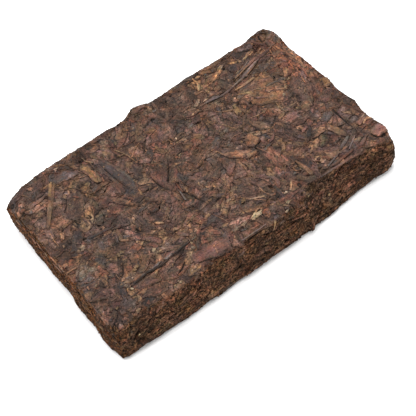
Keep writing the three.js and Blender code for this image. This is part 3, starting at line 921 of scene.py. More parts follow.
class BedFinder:
    """Finds where a place on the top or on the near wall lies on the bed."""

    def __init__(self):
        self.mesh = bpy.data.objects[BED].data
        self.tree = BVHTree.FromPolygons([v.co for v in self.mesh.vertices],
                                         [p.vertices for p in self.mesh.polygons])

    def find(self, side, x, other):
        """The point on the bed and the direction out of it; x and other are in mm."""
        if side == "top":
            start, towards, beside = (x, other, FROM_ABOVE), (0, 0, -1), (x, other, RIM_HEIGHT)
        else:
            start, towards, beside = (x, FROM_NEAR, other), (0, 1, 0), (x, NEAR_WALL, other)
        place, _, index, _ = self.tree.ray_cast(Vector(start) * MM, Vector(towards))
        if place is None:
            place, _, index, away = self.tree.find_nearest(Vector(beside) * MM)
            if away > MISS * MM:
                raise RuntimeError(f"nothing lies at {x}, {other} on the {side}")
        corner = self.mesh.polygons[index].vertices[0]
        return place, self.mesh.attributes["bed_out"].data[corner].vector.normalized()


CREVICE_END = 0.12  # how far up its sine a crevice's width starts, so that its ends taper
HOLE_EDGE = 0.25    # how wide the slope down into a hole is, in the hole's widths
HOLE_DEPTH = 0.8    # against a crevice's


class Crevices:
    """The crevices of one side, seen straight on: finds the nearest place of any, and
    how wide and deep it is there."""

    def __init__(self, paths, holes, seen):
        self.seen = seen
        spots = []
        for strength, through in paths:
            path = rounded_path(through)
            for i, place in enumerate(path):
                along = i / (len(path) - 1)
                swell = strength * math.sin(math.pi * (CREVICE_END + (1 - 2 * CREVICE_END) * along))
                spots.append((place, sizes().crevice_width * swell, sizes().crevice_depth * swell))
        for x, y, length, width, angle in holes:
            for place in hole_outline(x, y, length, width, angle):
                spots.append((place, HOLE_EDGE * width * MM, HOLE_DEPTH * sizes().crevice_depth))
        self.spots = spots
        self.tree = KDTree(len(spots))
        for i, (place, _, _) in enumerate(spots):
            self.tree.insert((place[0] * MM, place[1] * MM, 0.0), i)
        self.tree.balance()

    def away(self, point):
        """How far a point is from the nearest crevice."""
        return self.tree.find(self.seen(point))[2]

    def cut(self, point):
        """How far into a crevice a point is, from 0 to 1, which is also how much ink is painted there as
        shade, and how far it sinks.
        """
        _, i, distance = self.tree.find(self.seen(point))
        _, width, depth = self.spots[i]
        share = math.exp(-(distance / width) ** 2)
        return share, share * depth


# How near a crevice faces are made finer, round by round, and the edges that are left alone
CARVE_REACHES = (2.6 * MM, 1.3 * MM, 0.7 * MM)
CARVE_CELL = 0.6 * MM
FAINTEST = 0.01  # the share below which a point is left where it is


def carved(obj, side, is_there):
    """Sinks the crevices of one side into an object, where its faces are made finer first, and keeps how far
    into a crevice each point lies, which paints it with ink as shade.
    """
    shell = bmesh.new()
    shell.from_mesh(obj.data)
    deep = shell.verts.layers.float.get("deep") or shell.verts.layers.float.new("deep")
    out = shell.verts.layers.float_vector["bed_out"]
    for reach in CARVE_REACHES:
        near = {v for v in shell.verts if is_there(v[out]) and side.away(v.co) < reach}
        bmesh.ops.triangulate(shell, faces=[f for f in shell.faces if not near.isdisjoint(f.verts)])
        edges = [e for e in shell.edges if not near.isdisjoint(e.verts) and e.calc_length() > CARVE_CELL]
        bmesh.ops.subdivide_edges(shell, edges=edges, cuts=1, use_grid_fill=True)
    for v in shell.verts:
        if is_there(v[out]):
            share, sink = side.cut(v.co)
            if share > FAINTEST:
                v.co -= v[out].normalized() * sink
                # How far into the crevice, kept for the painted shade
                v[deep] = max(v[deep], share)
    shell.to_mesh(obj.data)
    shell.free()


# ---------------------------------------------------------------- what lies where

# The crevices of the top: how wide against the usual, and the points each runs through (mm). Each is sunk and
# painted dark as shade; some are painted shadows beside a raised leaf or the twig.
CREVICES = (
    (1, [(-57, -0.5), (-51.5, -1.3), (-46, -2), (-44, -2.7), (-37, -4.7)]),
    (0.85, [(-17.8, 12.5), (-18, 7), (-17.3, 2), (-16.5, 0), (-14.5, -2.6)]),
    (0.9, [(-13, -4.2), (-11.5, -6), (-9.7, -11), (-8, -17)]),
    (0.7, [(-7.3, 12), (-10, 8), (-13, 4.5)]),
    (1, [(-12, 5.5), (-14, 3)]),
    # The painted shadow along the lower edge of the lobed leaf
    (0.7, [(30, -4.9), (28, -6.2), (25.6, -6.9), (25, -9.3), (22, -10.8)]),
    (0.62, [(36, -3.3), (39, -1.8), (41, -0.5), (43, 1), (45.5, 2.5)]),
    (1, [(64.3, -11), (64, -14), (64, -20), (64.2, -25.5)]),
    (1, [(52.5, 39.3), (56, 38), (58.5, 36.8), (60.5, 35)]),
    (1, [(67.5, -33), (67.7, -35), (68.5, -36.6), (69.5, -37.2)]),
    (0.62, [(-58, 17.5), (-54.5, 20.5), (-51.7, 24.5)]),
    (0.62, [(-31, 29), (-30.6, 22), (-29.5, 14), (-28, 8)]),
    # The painted shadow along the twig
    (0.5, [(-56.5, -29.7), (-50, -29.4), (-44, -29.1), (-38, -29.1)]),
    (0.62, [(-52, -16), (-54.5, -20), (-56.3, -22.3), (-58.7, -22.8)]),
    (0.32, [(-9.8, -34.7), (-12, -36.5), (-13, -38.5), (-13.5, -40.5)]),
    (0.62, [(-31, -37), (-28, -38), (-25, -39.2), (-20, -40.8)]),
    (0.62, [(-32, -21.5), (-28, -19.3), (-24, -19.3), (-22, -20)]),
    (0.62, [(38, -37.4), (45, -37.5), (50, -37.6), (58, -38.4)]),
    (0.62, [(-52, -34), (-48, -34.6), (-44.5, -35.7)]),
    (1, [(-39.6, -36.9), (-36, -35.2), (-33, -33.5)]),
    (0.62, [(4, 27.8), (9, 30), (11.5, 32.5)]),
    (0.62, [(44, 26), (50, 27.4), (56, 29)]),
    (1, [(41.3, 35.3), (43.3, 36.9)]),
    (1, [(43, 33.3), (44, 31.8)]),
    (1, [(64.8, 37.5), (65.2, 40), (66, 42)]),
    (0.62, [(8, -19.8), (12, -21.5), (13, -24), (11, -26.5)]),
    (0.62, [(-62, -41), (-58, -42), (-55.5, -41.8)]),
    (1, [(-8.5, -41.6), (-4, -41.2), (2.5, -41.2)]),
    (0.62, [(-57, -10), (-56, -13)]),
    (0.62, [(60.8, -33.4), (63, -32.6), (65.5, -31.9)]),
    (0.62, [(67.6, 10.5), (67.3, 8.5), (65.5, 7)]),
)

# Holes between the leaves of the top: x, y, length, width (mm) and angle. Each is sunk and painted dark as
# shade.
HOLES = (
    (-72, 36, 3, 2.2, 60), (-3, 39.8, 5, 0.8, 0), (2.6, 41, 2, 1, 20), (1, 34, 2.2, 1.6, 10),
    (61.7, 21.5, 3, 0.8, 60), (-75, -7, 3, 1.6, 60), (-58, 2.3, 2.4, 1.1, 10), (32.5, 10.5, 3.4, 0.9, 5),
    (15, 2, 3, 0.9, 80), (57, 2.5, 4, 1.2, 85), (-1, -7, 2, 0.6, 10), (3.2, -26.5, 2.5, 0.8, -5),
    (-11, -26.5, 4, 0.7, -10), (29, -22.5, 2.4, 1.3, -40), (25.5, -27, 3, 0.8, 25), (41.3, -30.5, 2, 1, 80),
    (27.4, -34, 3, 1.6, 80), (23, -40.7, 3, 0.8, -5), (-24.3, -25, 2, 0.7, -40), (71, -37.4, 4, 1.4, 10),
    (67, 13.6, 2, 1, 80), (65, 19, 2, 0.8, 80), (-70, -43.6, 3, 0.8, 3), (-60, -43, 2.4, 1, -5),
    (-46, -43, 3, 0.8, 5), (-38.5, -42.4, 2, 1, 8), (-29, -42.2, 4, 0.8, -3), (-14, -42.2, 3, 1, 10),
    (9, -42, 3, 0.9, -8), (15.5, -41.6, 3, 1.1, 10), (25.5, -38, 2, 1, 40), (31, -36.5, 2.2, 1, -30),
    (33, -39.5, 3, 1.2, 10), (46, -39, 2, 0.8, 0), (58, -42, 4, 0.9, 8), (66.5, -43, 3, 0.9, 0),
    (69.3, -10, 3, 1.4, 60),
)

# Crevices of the near wall, by x and height (mm), sunk and painted dark as shade
WALL_CREVICES = (
    (1, [(27.2, 3), (30.5, 6), (34, 9.3)]),
    (1, [(-68, 8), (-66.5, 9.2), (-64, 11.5)]),
    (1, [(-51, 8), (-49.5, 9.5)]),
    (1, [(-25.5, 1.5), (-24, 3)]),
    (1, [(-8.5, 1.5), (-7, 4)]),
    (1, [(1, 15), (4, 16)]),
)

# Where the strewn bits of each side lie, by how far up the bed faces, and how they look
TOP = {"Facing Low": 0.93, "Facing High": 1.1, "look": "dark leaf"}
WALL = {"Facing Low": -0.55, "Facing High": 0.78, "look": "wall leaf"}
UNDERSIDE = {"Facing Low": -1.1, "Facing High": -0.72, "look": "dark leaf"}
# What makes a bit a fibre
THREAD = {"Bluntness Low": 6.0, "Bluntness High": 8.0, "Bend": 0.3, "Ragged": 0.25, "Torn Low": 0.9}

# The strewn layers. Lengths in mm; slimness is width over length. The last of the colours
# is rarer, and the number is its share.
LAYERS = {
    "underside_leaves": {
        **UNDERSIDE, "spacing": 5.2, "length": (11, 22), "slimness": (0.4, 0.62), "lift": (-0.05, 0.1),
        "colours": ("umber", "bark", "plum", 0.25), "Cells Along": 10, "Cells Across": 6, "Seed": 3},
    "top_leaves_low": {
        **TOP, "spacing": 5.0, "length": (16, 30), "slimness": (0.4, 0.62), "lift": (-0.1, 0.12),
        "colours": ("soot", "sand", "plum", 0.3), "Cells Along": 10, "Cells Across": 6, "Seed": 11},
    "top_leaves_middle": {
        **TOP, "spacing": 5.0, "length": (9, 24), "slimness": (0.28, 0.52), "lift": (-0.1, 0.15),
        "colours": ("soot", "rose", "russet", 0.25), "Cells Along": 12, "Cells Across": 6, "Seed": 23},
    "top_leaves_upper": {
        **TOP, "spacing": 5.6, "length": (5, 18), "slimness": (0.16, 0.42), "lift": (-0.1, 0.2),
        "colours": ("umber", "sand", "slate", 0.25), "Cells Along": 12, "Cells Across": 6, "Seed": 31},
    "wall_flakes_low": {
        **WALL, "spacing": 2.9, "length": (6, 14), "slimness": (0.25, 0.5), "lift": (-0.15, 0.05),
        "Turn": 0.4, "curl": 0.5, "colours": ("earth", "umber", "russet", 0.3), "Cells Along": 9,
        "Cells Across": 5, "Seed": 43},
    "wall_flakes_high": {
        **WALL, "spacing": 2.4, "length": (2, 7), "slimness": (0.3, 0.7), "lift": (-0.15, 0.05),
        "Turn": 0.9, "curl": 0.5, "colours": ("earth", "moss", "russet", 0.2), "Cells Along": 7,
        "Cells Across": 4, "Seed": 47},
    "wall_crumbs": {
        **WALL, "spacing": 1.8, "length": (0.8, 2.2), "slimness": (0.4, 0.9), "lift": (-0.15, 0.0),
        "dome": 0.15, "curl": 0.3, "colours": ("earth", "umber", "bark", 0.12), "Cells Along": 5,
        "Cells Across": 4, "Seed": 53},
    "wall_fibres": {
        **WALL, **THREAD, "spacing": 6.5, "length": (4, 10), "slimness": (0.05, 0.1), "lift": (-0.1, 0.0),
        "dome": 0.15, "Turn": 0.7, "colours": ("earth", "bark", "tan", 0.12), "Cells Along": 12,
        "Cells Across": 5, "Seed": 73},
    "fibres": {
        **TOP, **THREAD, "spacing": 4.6, "length": (4, 14), "slimness": (0.035, 0.07), "lift": (-0.1, 0.05),
        "dome": 0.25, "colours": ("umber", "bark", "tan", 0.25), "Cells Along": 11, "Cells Across": 4,
        "Seed": 71},
    "top_crumbs": {
        **TOP, "spacing": 2.4, "length": (0.8, 2.6), "slimness": (0.35, 0.9), "lift": (-0.1, 0.1),
        "dome": 0.2, "colours": ("umber", "bark", "tan", 0.15), "Cells Along": 5, "Cells Across": 4,
        "Seed": 61},
}


# How the leaves of one area differ from the rest: red, green and blue against the usual
CASTS = {
    "golden": (1.38, 1.3, 1.1), "sandy": (1.2, 1.16, 1.08), "orange": (1.72, 1.32, 1.1),
    "salmon": (1.3, 1.12, 1.06), "ruddy": (1.12, 1.0, 0.96), "creamy": (1.4, 1.38, 1.34),
    "pale": (1.14, 1.15, 1.16), "lilac": (1.12, 1.12, 1.22), "shaded": (0.8, 0.82, 0.86),
    "slaty": (0.84, 0.88, 0.96), "mossy": (0.86, 0.9, 0.84), "barky": (0.91, 0.82, 0.7),
    "dark": (0.68, 0.68, 0.7),
}
# Areas of the top: x, y, length, width (mm), angle and cast
ZONES = (
    (30, 34, 26, 9, 45, "golden"), (50, 14, 26, 13, -15, "golden"), (68, 18, 10, 26, 0, "orange"),
    (-69, 15, 12, 22, 0, "sandy"), (18, -5, 20, 11, -5, "golden"), (-46, -21, 24, 9, 0, "sandy"),
    (-19, -36, 22, 9, 0, "salmon"), (3, -35, 15, 7, 10, "creamy"), (74, -1, 8, 9, 0, "creamy"),
    (56, -20, 8, 18, 30, "sandy"), (54, -29, 18, 8, 20, "lilac"), (74, -34, 9, 16, 0, "salmon"),
    (63, -16, 8, 8, 0, "slaty"), (8, -14, 30, 16, 0, "pale"), (-8, -31, 14, 6, 0, "pale"),
    (20, 43, 20, 6, 0, "dark"), (-50, 0, 26, 10, -10, "slaty"), (-24, -27, 24, 6, 0, "shaded"),
    (-47, 17, 14, 14, 0, "mossy"), (-66, -34, 10, 14, 0, "shaded"), (-76, 36, 8, 10, 0, "dark"),
    (66, 33, 12, 14, 0, "ruddy"), (-34, 13, 10, 10, 0, "ruddy"), (32, 7, 12, 10, 0, "slaty"),
    (57, -4, 16, 12, 0, "ruddy"), (-27, 22, 8, 22, 0, "slaty"), (0, 42, 16, 5, 0, "shaded"),
    (-68, -4, 12, 14, 0, "ruddy"), (-52, -37, 20, 8, 0, "ruddy"), (12, 17, 12, 8, 0, "pale"),
    (-20, 42, 30, 5, 0, "shaded"), (72, -13, 10, 10, 0, "barky"), (-40, -15, 36, 16, 0, "pale"),
    (2, -12, 40, 22, 0, "pale"), (46, -15, 22, 17, 0, "lilac"), (50, -40, 44, 6, 0, "pale"),
    (56, -39, 20, 7, 0, "lilac"), (12, -40, 14, 6, 0, "pale"), (-38, 41, 40, 7, 0, "barky"),
    (-8, 41.5, 34, 6, 0, "barky"), (32, 41, 50, 6, 0, "barky"), (-70, 40, 12, 8, 0, "shaded"),
    (18, 30, 12, 10, 0, "pale"), (-71, 17, 8, 22, 0, "sandy"), (62, 10, 9, 9, 0, "sandy"),
    (20, 6, 10, 14, 0, "pale"), (-40, 21, 9, 9, 0, "pale"), (31, 0, 9, 9, 0, "slaty"),
    (70, -19, 8, 8, 0, "ruddy"), (68, 20, 8, 14, 0, "ruddy"), (45, -41, 52, 6, 0, "lilac"),
    (4, -21, 14, 9, 0, "pale"), (-12, -40.5, 10, 6, 0, "shaded"), (72, -10, 9, 9, 0, "shaded"),
    (31, 1, 8, 8, 0, "shaded"), (32, -40, 10, 6, 0, "pale"), (-36, 42, 50, 7, 0, "barky"),
    (36, 42, 54, 7, 0, "barky"), (68, 41, 14, 7, 0, "shaded"), (50, -41.5, 34, 7, 0, "lilac"),
    (50, -41, 22, 7, 0, "pale"), (72, -41, 12, 7, 0, "pale"), (-10, -41, 10, 6, 0, "shaded"),
)


# Bits that are laid one by one: x, y, length, width (mm), angle, colour and bow.
# The top's are looked at from above; a wall's y is the height.
PLATES = (
    (-52, 18.5, 14, 9, 55, "umber"), (-67, -12, 9, 7, 10, "stone"), (-67, -6, 8, 6.5, 30, "honey"),
    (-46.5, -21, 14, 8, 35, "honey"), (-57.5, -18, 7, 6, 50, "rose"), (-62.5, -34.3, 8, 6.5, -10, "plum"),
    (-50.5, -37.3, 13, 5, -8, "russet"), (-50, -32.3, 12, 4, -8, "wine"), (-14, 7, 19, 7.5, 82, "wine"),
    (4.3, -4.8, 11.5, 9.5, 20, "bark"), (16, 34, 14, 12, 30, "umber"), (8, -23, 10, 8.5, -60, "umber"),
    (45, 34, 7, 5, 60, "slate"), (42, 31.3, 6, 5, 0, "plum"), (56, 26.5, 8, 5, 10, "plum"),
    (57, 39.5, 8, 3.5, -10, "plum"), (63.4, 24.6, 6.5, 4.6, 80, "brick"), (48, -4.8, 12, 5.5, -5, "rose"),
    (57.3, -3.2, 7, 5, 0, "honey"), (67, -4, 9, 6, 20, "wine"), (48, 14.5, 29, 14, -30, "amber"),
    (61, 3, 18, 9, 78, "bark"), (65.5, 24.5, 11, 4.4, 110, "ember"), (67.8, 14.5, 12, 4, 85, "brick"),
    (66.6, 9.5, 8, 4, 80, "rose"), (67, -38.3, 12, 3.2, -12, "russet"), (20.3, -35.6, 13, 3.6, -2, "russet"),
    (33, 22, 6, 5, 20, "wine"), (-54, -6, 8, 5, 80, "plum"), (-36.5, 1.3, 10, 4, 0, "umber"),
    (-67, 20, 8, 6, 40, "rose"), (-68, 13, 7, 4.5, 70, "rose"), (1, 23, 10, 7, 20, "rose"),
    (-6, 17.5, 5, 4, 0, "moss"), (14, 6, 9, 4, 35, "plum"), (23.3, -4.3, 7.5, 5, 60, "bark"),
    (-69, -24, 8, 6, -30, "wine"), (40, -20, 9, 6, 10, "bark"),
)
# The broad leaves that lie clean on top
CLEAN = (
    (-21, -36.2, 20, 8.4, -4, "copper"), (-28.5, 20, 22, 7, -82, "slate"),
    (-46.5, 33.5, 13, 5.5, -20, "plum"), (-31.5, 14.3, 8.5, 4.6, 65, "russet"),
)
# Smaller pieces of leaf
PATCHES = (
    (60, -13, 8, 5, 20, "plum"), (-60, 5, 8, 6, 60, "slate"), (-59, -12, 8, 5, 80, "slate"),
    (-11, 19, 6, 3, 70, "slate"), (-8, 1, 7, 4, 80, "slate"), (56.5, -9.5, 8, 5, 20, "plum"),
    (69.5, 21, 9, 4, 80, "peach"), (-42.3, 23.5, 6.5, 2.8, 14, "gold"), (-62.3, -1.6, 5, 3, 10, "straw"),
    (-17, 33, 6, 4, 0, "russet"), (-28.3, 37.5, 6, 3.4, 5, "peach"), (-11.2, 36.6, 3, 2.6, 0, "peach"),
    (-10.5, 33.5, 2.8, 2.5, 0, "tan"), (-9, 28.6, 6.5, 3.6, 5, "tan"), (-3.8, 29.5, 8, 2.8, 3, "honey"),
    (0.4, 42.4, 4.5, 3.2, 70, "russet"), (-14.5, 18.4, 5.5, 4, -70, "rose"), (8.2, 18.4, 4.5, 4, 0, "rose"),
    (22, 8.7, 4, 2.6, 30, "stone"), (18.5, 3, 3.2, 1.8, 10, "stone"), (-39, 4, 6.5, 2.8, -5, "russet"),
    (-4, -13.5, 5.5, 3, 10, "russet"), (8, -37.3, 4.8, 3, 20, "peach"), (-6.5, -34.2, 5.5, 2.8, -10, "stone"),
    (-67.9, -15.7, 5.5, 3, 10, "plum"), (24, -17.5, 4.5, 2.6, -40, "russet"),
    (38, -28.3, 3.4, 2.8, 0, "slate"), (69.6, 11.5, 4.4, 3, 70, "ember"), (70.5, 24, 8, 4, 80, "peach"),
    (70, -18.5, 5, 2.6, 50, "tan"), (50, -23, 7, 5, 30, "moss"), (68, 26, 4, 3, 20, "rose"),
    (-52, 41, 6, 2, 0, "russet"), (-30.5, 38, 3, 2.4, 0, "russet"), (-64, -21, 5.5, 2.6, 75, "tan"),
    (25, -34.4, 5, 1.6, -3, "honey"), (-70, 9, 6, 3, 80, "rose"), (38.5, 19, 5, 3, 10, "plum"),
    (3.5, 12.5, 6, 4, 20, "honey"), (-22, -15, 9, 5, 20, "bark"), (-40, 12, 8, 5, 30, "bark"),
    (12, -14, 7, 4, 0, "rose"), (30.5, 5, 8, 5, 60, "umber"), (70.5, 35, 5, 3, 60, "soot"),
)
# Leaves that stand up a little and curl; a bow bends one along its length
CURLED = (
    (-36.6, 28, 14, 4.4, -84, "gold"), (26, -3.4, 7.4, 6.4, 30, "amber"), (21.4, -8.8, 8, 2.8, -8, "peach"),
    (17.6, -5.2, 13, 5.2, -38, "peach"), (11, -8.6, 9, 3, 38, "rose"),
    (57.6, -22.4, 11, 3.8, -76, "tan", -0.4), (50.6, -18.8, 7.5, 1.8, 0, "tan", 0.2),
    (0.5, 44.4, 8, 4.4, 5, "umber"), (71.6, -34, 9.5, 6, 10, "salmon"), (66.2, -36, 5, 2.2, -70, "soot", 0.5),
    (70, -24.2, 7.5, 2.8, 22, "rose"), (61, -8.1, 6.5, 3.4, 60, "ember"), (71.4, 1.4, 5.4, 3.8, 75, "gold"),
    (-32.5, -38.9, 7.5, 3, 5, "gold"), (56.8, 36, 4.5, 2.2, 10, "honey"), (31, 35.6, 3.8, 2.8, 45, "peach"),
    (-0.5, 42.6, 8, 3, 0, "bark"), (66.5, 34.4, 5, 3, 70, "russet"),
)
# Small, mostly pale shreds; a bow bends one along its length
SLIVERS = (
    (31.6, 14.3, 7, 4, 80, "gold"), (33.5, 34.4, 14, 3.4, 20, "peach"), (29.6, 31.6, 7, 2.6, 55, "gold"),
    (46.5, 36.8, 8, 1, -35, "hay"), (36, 35.8, 5, 1.4, 40, "ember"), (70.3, 17, 9, 2, 78, "peach"),
    (68.6, 24, 8, 2, 95, "ember"), (66, 27.6, 7, 1.8, 20, "honey"), (70.6, 8, 6, 2, 80, "ember"),
    (63.9, 20.5, 6, 2, 100, "russet"), (3.4, -34.5, 8, 3, 6, "cream"), (-2.6, -34.6, 6.4, 2.2, 0, "straw"),
    (-3.4, -36.2, 3, 1.2, 10, "stone"), (4.8, -33.2, 6, 1, 8, "straw"), (7.6, -35.3, 4.5, 2.6, 0, "ember"),
    (-4.5, -36.6, 2.4, 1.7, 0, "mist"), (-32.2, -38.6, 3.4, 1.6, 10, "straw"),
    (-40, -39.8, 2.2, 1.9, 0, "straw"), (-39.4, -21, 3.2, 2.5, 60, "straw"),
    (-38, -22.9, 2.4, 1.1, -10, "straw"), (-12, -21.9, 4.6, 1.7, 22, "sand"),
    (-16, -22, 2.4, 0.9, 20, "straw"), (-0.5, -21.2, 4.2, 1.9, 5, "straw"),
    (6.4, -17.9, 2.2, 1.5, 60, "sand"), (3.8, -25.3, 3, 1.8, 0, "gold"), (21.4, 28.9, 5, 2.8, 35, "straw"),
    (25.6, 27.9, 4, 2, 15, "stone"), (24.6, 27, 3.8, 1.5, -20, "cream"), (29, 28.6, 2.6, 1.8, 0, "straw"),
    (26.2, 28.7, 2, 1.8, 0, "peach"), (25.5, 32.5, 5.5, 1.5, -10, "peach"), (34.7, 36.6, 4.4, 1, -5, "straw"),
    (42, 37.6, 4, 1, 22, "straw"), (38, 36.6, 4.2, 1, 5, "tan"), (32.6, 32.7, 3.8, 0.9, 70, "tan"),
    (38, 32.2, 3.6, 0.9, -65, "rose"), (34.5, 31.5, 2.4, 1.3, 30, "brick"),
    (45.6, 30.6, 3.2, 1.1, 0, "straw"), (50.3, 35, 4.2, 1.4, -60, "honey"),
    (54.6, 34.8, 7.5, 1, 0, "straw", -0.5), (58.2, 36.2, 2, 1.2, 0, "moss"), (-25, 36.4, 2, 1.3, 30, "sand"),
    (-19, 33.9, 2.2, 1.9, 0, "gold"), (4.5, 37.5, 2.4, 1.3, -30, "mist"), (11, 20.4, 4.2, 1.6, 5, "mist"),
    (13, 22.6, 2.8, 1.8, 60, "honey"), (-3, 21.2, 2, 1.5, 0, "peach"), (2.8, 19.1, 1.6, 1.1, 60, "cream"),
    (-0.7, 18.3, 1.6, 1, 80, "peach"), (-47, 38.9, 2.8, 1.8, 10, "cream"), (-61, 37.5, 2.8, 2.6, 0, "peach"),
    (-67.5, 36.7, 3.2, 1.3, 20, "rose"), (-68, 27.4, 2.3, 2.3, 60, "mist"),
    (-48.6, 22, 3.6, 1.5, -60, "brick"), (-34.6, 22, 5, 1.4, 75, "peach"), (-36, 25.6, 6.5, 1.3, 80, "peach"),
    (-39.2, -6.7, 4.2, 2.3, 70, "brick"), (-33.3, 5, 3.6, 1.2, 10, "peach"),
    (-37.5, -8.6, 2.2, 1.3, 70, "peach"), (-34.5, -9.2, 1.5, 0.9, 30, "mist"),
    (-21.5, -4, 3.8, 1.4, 55, "peach"), (-26, 6.5, 4.2, 1.5, 80, "tan"), (-21.5, 5.5, 2.6, 1.7, 20, "tan"),
    (-1.4, 11.3, 2.2, 1.1, 10, "straw"), (-3.2, 11, 2.2, 1.1, 0, "brick"),
    (1.7, -7.8, 2.4, 1.3, -20, "peach"), (-4.8, -6.3, 1.4, 1, 40, "straw"), (-8.3, 4.8, 11, 2, 54, "russet"),
    (21, 11.4, 1.7, 1.2, 60, "straw"), (17.6, 1.7, 2.4, 0.9, 0, "mist"), (40.3, 6.2, 2.8, 1.3, 80, "honey"),
    (53, 7.6, 2.4, 1.6, 30, "straw"), (59.8, 13.2, 2.4, 1.3, 20, "straw"), (49, 13, 1.4, 1.2, 0, "straw"),
    (56, 10.6, 3.6, 2.1, 20, "straw"), (37.4, -5.5, 3.6, 1.5, 62, "russet"), (53.2, 2.2, 1.5, 1.2, 30, "tan"),
    (52.6, -13.4, 3.6, 1.4, -15, "peach"), (48, -13, 4.6, 1.7, 15, "salmon"),
    (60.4, 6, 2.2, 1.1, 50, "peach"), (61.8, 3.8, 4.2, 0.8, 45, "tan"), (62, -7.6, 3, 1.2, 30, "peach"),
    (73.1, 2.8, 1.4, 1.1, 0, "cream"), (68.6, 26, 4.2, 0.9, 50, "peach"), (70, 32.5, 1.9, 1.4, 50, "tan"),
    (68.5, 37, 4.2, 1.6, 15, "rose"), (61.6, 40, 3.6, 1.9, 60, "tan"), (52.5, 23.4, 3, 1.9, 20, "peach"),
    # (67.5, 42.8) in mist is a painted glint on the far rim
    (67.5, 42.8, 4.2, 0.9, 8, "mist"), (-57.5, -24.4, 3.4, 2.1, 30, "peach"),
    (-62.8, -19.8, 4.2, 1.2, 80, "sand"), (-68, -19.6, 2.2, 1.1, 50, "straw"),
    (-70.9, -18.2, 3, 1.1, 70, "peach"), (-37.6, -36.6, 3.4, 1.2, 20, "ember"),
    (-25.6, -28, 3.2, 1.4, 70, "straw"), (-26.4, -30.5, 3.2, 1.9, 60, "stone"),
    (-23.5, -27.1, 3.2, 1.2, 5, "mist"), (45.2, -31, 4.2, 2.5, -70, "brick"),
    (29.5, -28.2, 2.8, 1.5, 0, "mist"), (27.2, -22.9, 3.8, 1.8, -45, "honey"),
    (25, -25.6, 3.4, 1.5, 20, "russet"), (16.6, -29.6, 1.7, 1.3, 60, "peach"),
    (16.1, -31.2, 2.2, 1.3, 20, "ember"), (20.6, -33.3, 3, 1.1, 5, "cream"),
    (71.5, -23.4, 3.8, 1, 25, "straw"), (70, -26, 3.6, 1, 25, "straw"), (61, -35.6, 3.8, 1.9, 10, "peach"),
    (-73.7, 29.3, 3.8, 1.5, 85, "peach"), (-73, 18.6, 4, 1.3, 85, "peach"), (-74.8, 8, 6, 1.2, 88, "olive"),
    (-74.6, 0, 8, 1.3, 88, "brick"), (-73.3, 4, 7, 1.3, 85, "peach"), (-74.2, 14, 6, 1.3, 88, "peach"),
    (-54, -42.5, 3.2, 1.1, 60, "rose"), (-38, 40.5, 5, 1.2, 50, "earth"), (16, 24.6, 1.4, 1.2, 0, "straw"),
    (33.4, 38.3, 1.4, 1, 0, "mist"), (37, 37.8, 1.4, 1, 0, "mist"), (-69.2, 30.6, 3.2, 2.4, 30, "russet"),
    (73, -38, 5, 1.2, 40, "rose"), (40, 19, 9, 1.4, -28, "gold"), (46, 17, 10, 1.6, -32, "sand"),
    (53, 15.6, 7, 1.8, -20, "stone"), (44, 12.4, 8, 1.5, -35, "rose"), (54, 10.6, 8, 1.4, -30, "sand"),
    (49.5, 19.4, 6, 1.2, -25, "tan"), (42, 15.6, 7, 1.1, -30, "honey"), (50, 12.6, 9, 1.1, -30, "bark"),
    (57, 13.4, 5, 1.2, -40, "peach"), (66.5, 30, 6, 1, 100, "ember"), (67.5, 27, 6, 1.2, 115, "peach"),
    (68.8, 21, 7, 1, 95, "tan"), (66.8, 18, 7, 1, 100, "ember"), (69.8, 14, 6, 0.9, 85, "peach"),
    (65, 22, 5, 1, 110, "salmon"), (67.6, 11, 6, 1, 80, "ember"), (64.6, 26.5, 6, 1.2, 120, "amber"),
    (69.5, 28, 5, 0.9, 100, "peach"), (29.8, 33.4, 7, 1.7, 5, "hay", 0.2),
    (37.6, 35.3, 10, 2.4, 19, "peach", 0.15), (38, 35.7, 9, 1.3, 21, "hay", 0.35),
    (40.8, 37.8, 5, 1.2, 30, "hay", 0.2), (31.5, 35.4, 5, 1.4, 40, "gold", 0.15),
    (55.7, 34.7, 4.4, 2, -5, "hay"), (52.4, 34.1, 5, 1.2, 12, "gold"), (57.4, 15, 4.6, 2.6, -30, "stone"),
    (14.6, -3.2, 8, 1.3, -40, "peach"), (20.4, -9.4, 6, 1.1, -10, "tan"), (-50, -28.3, 4, 1.3, 14, "slate"),
    # The mist slivers on the twig are painted glints
    (-46, -28, 3.4, 1.4, -12, "mist"), (-41.6, -28.3, 5, 1.3, 16, "slate"), (-36, -27.7, 4, 1.2, -10, "mist"),
    (-55.4, -29.4, 3.4, 1.5, -20, "slate"), (-32, -28, 4, 1.1, 12, "slate"),
)
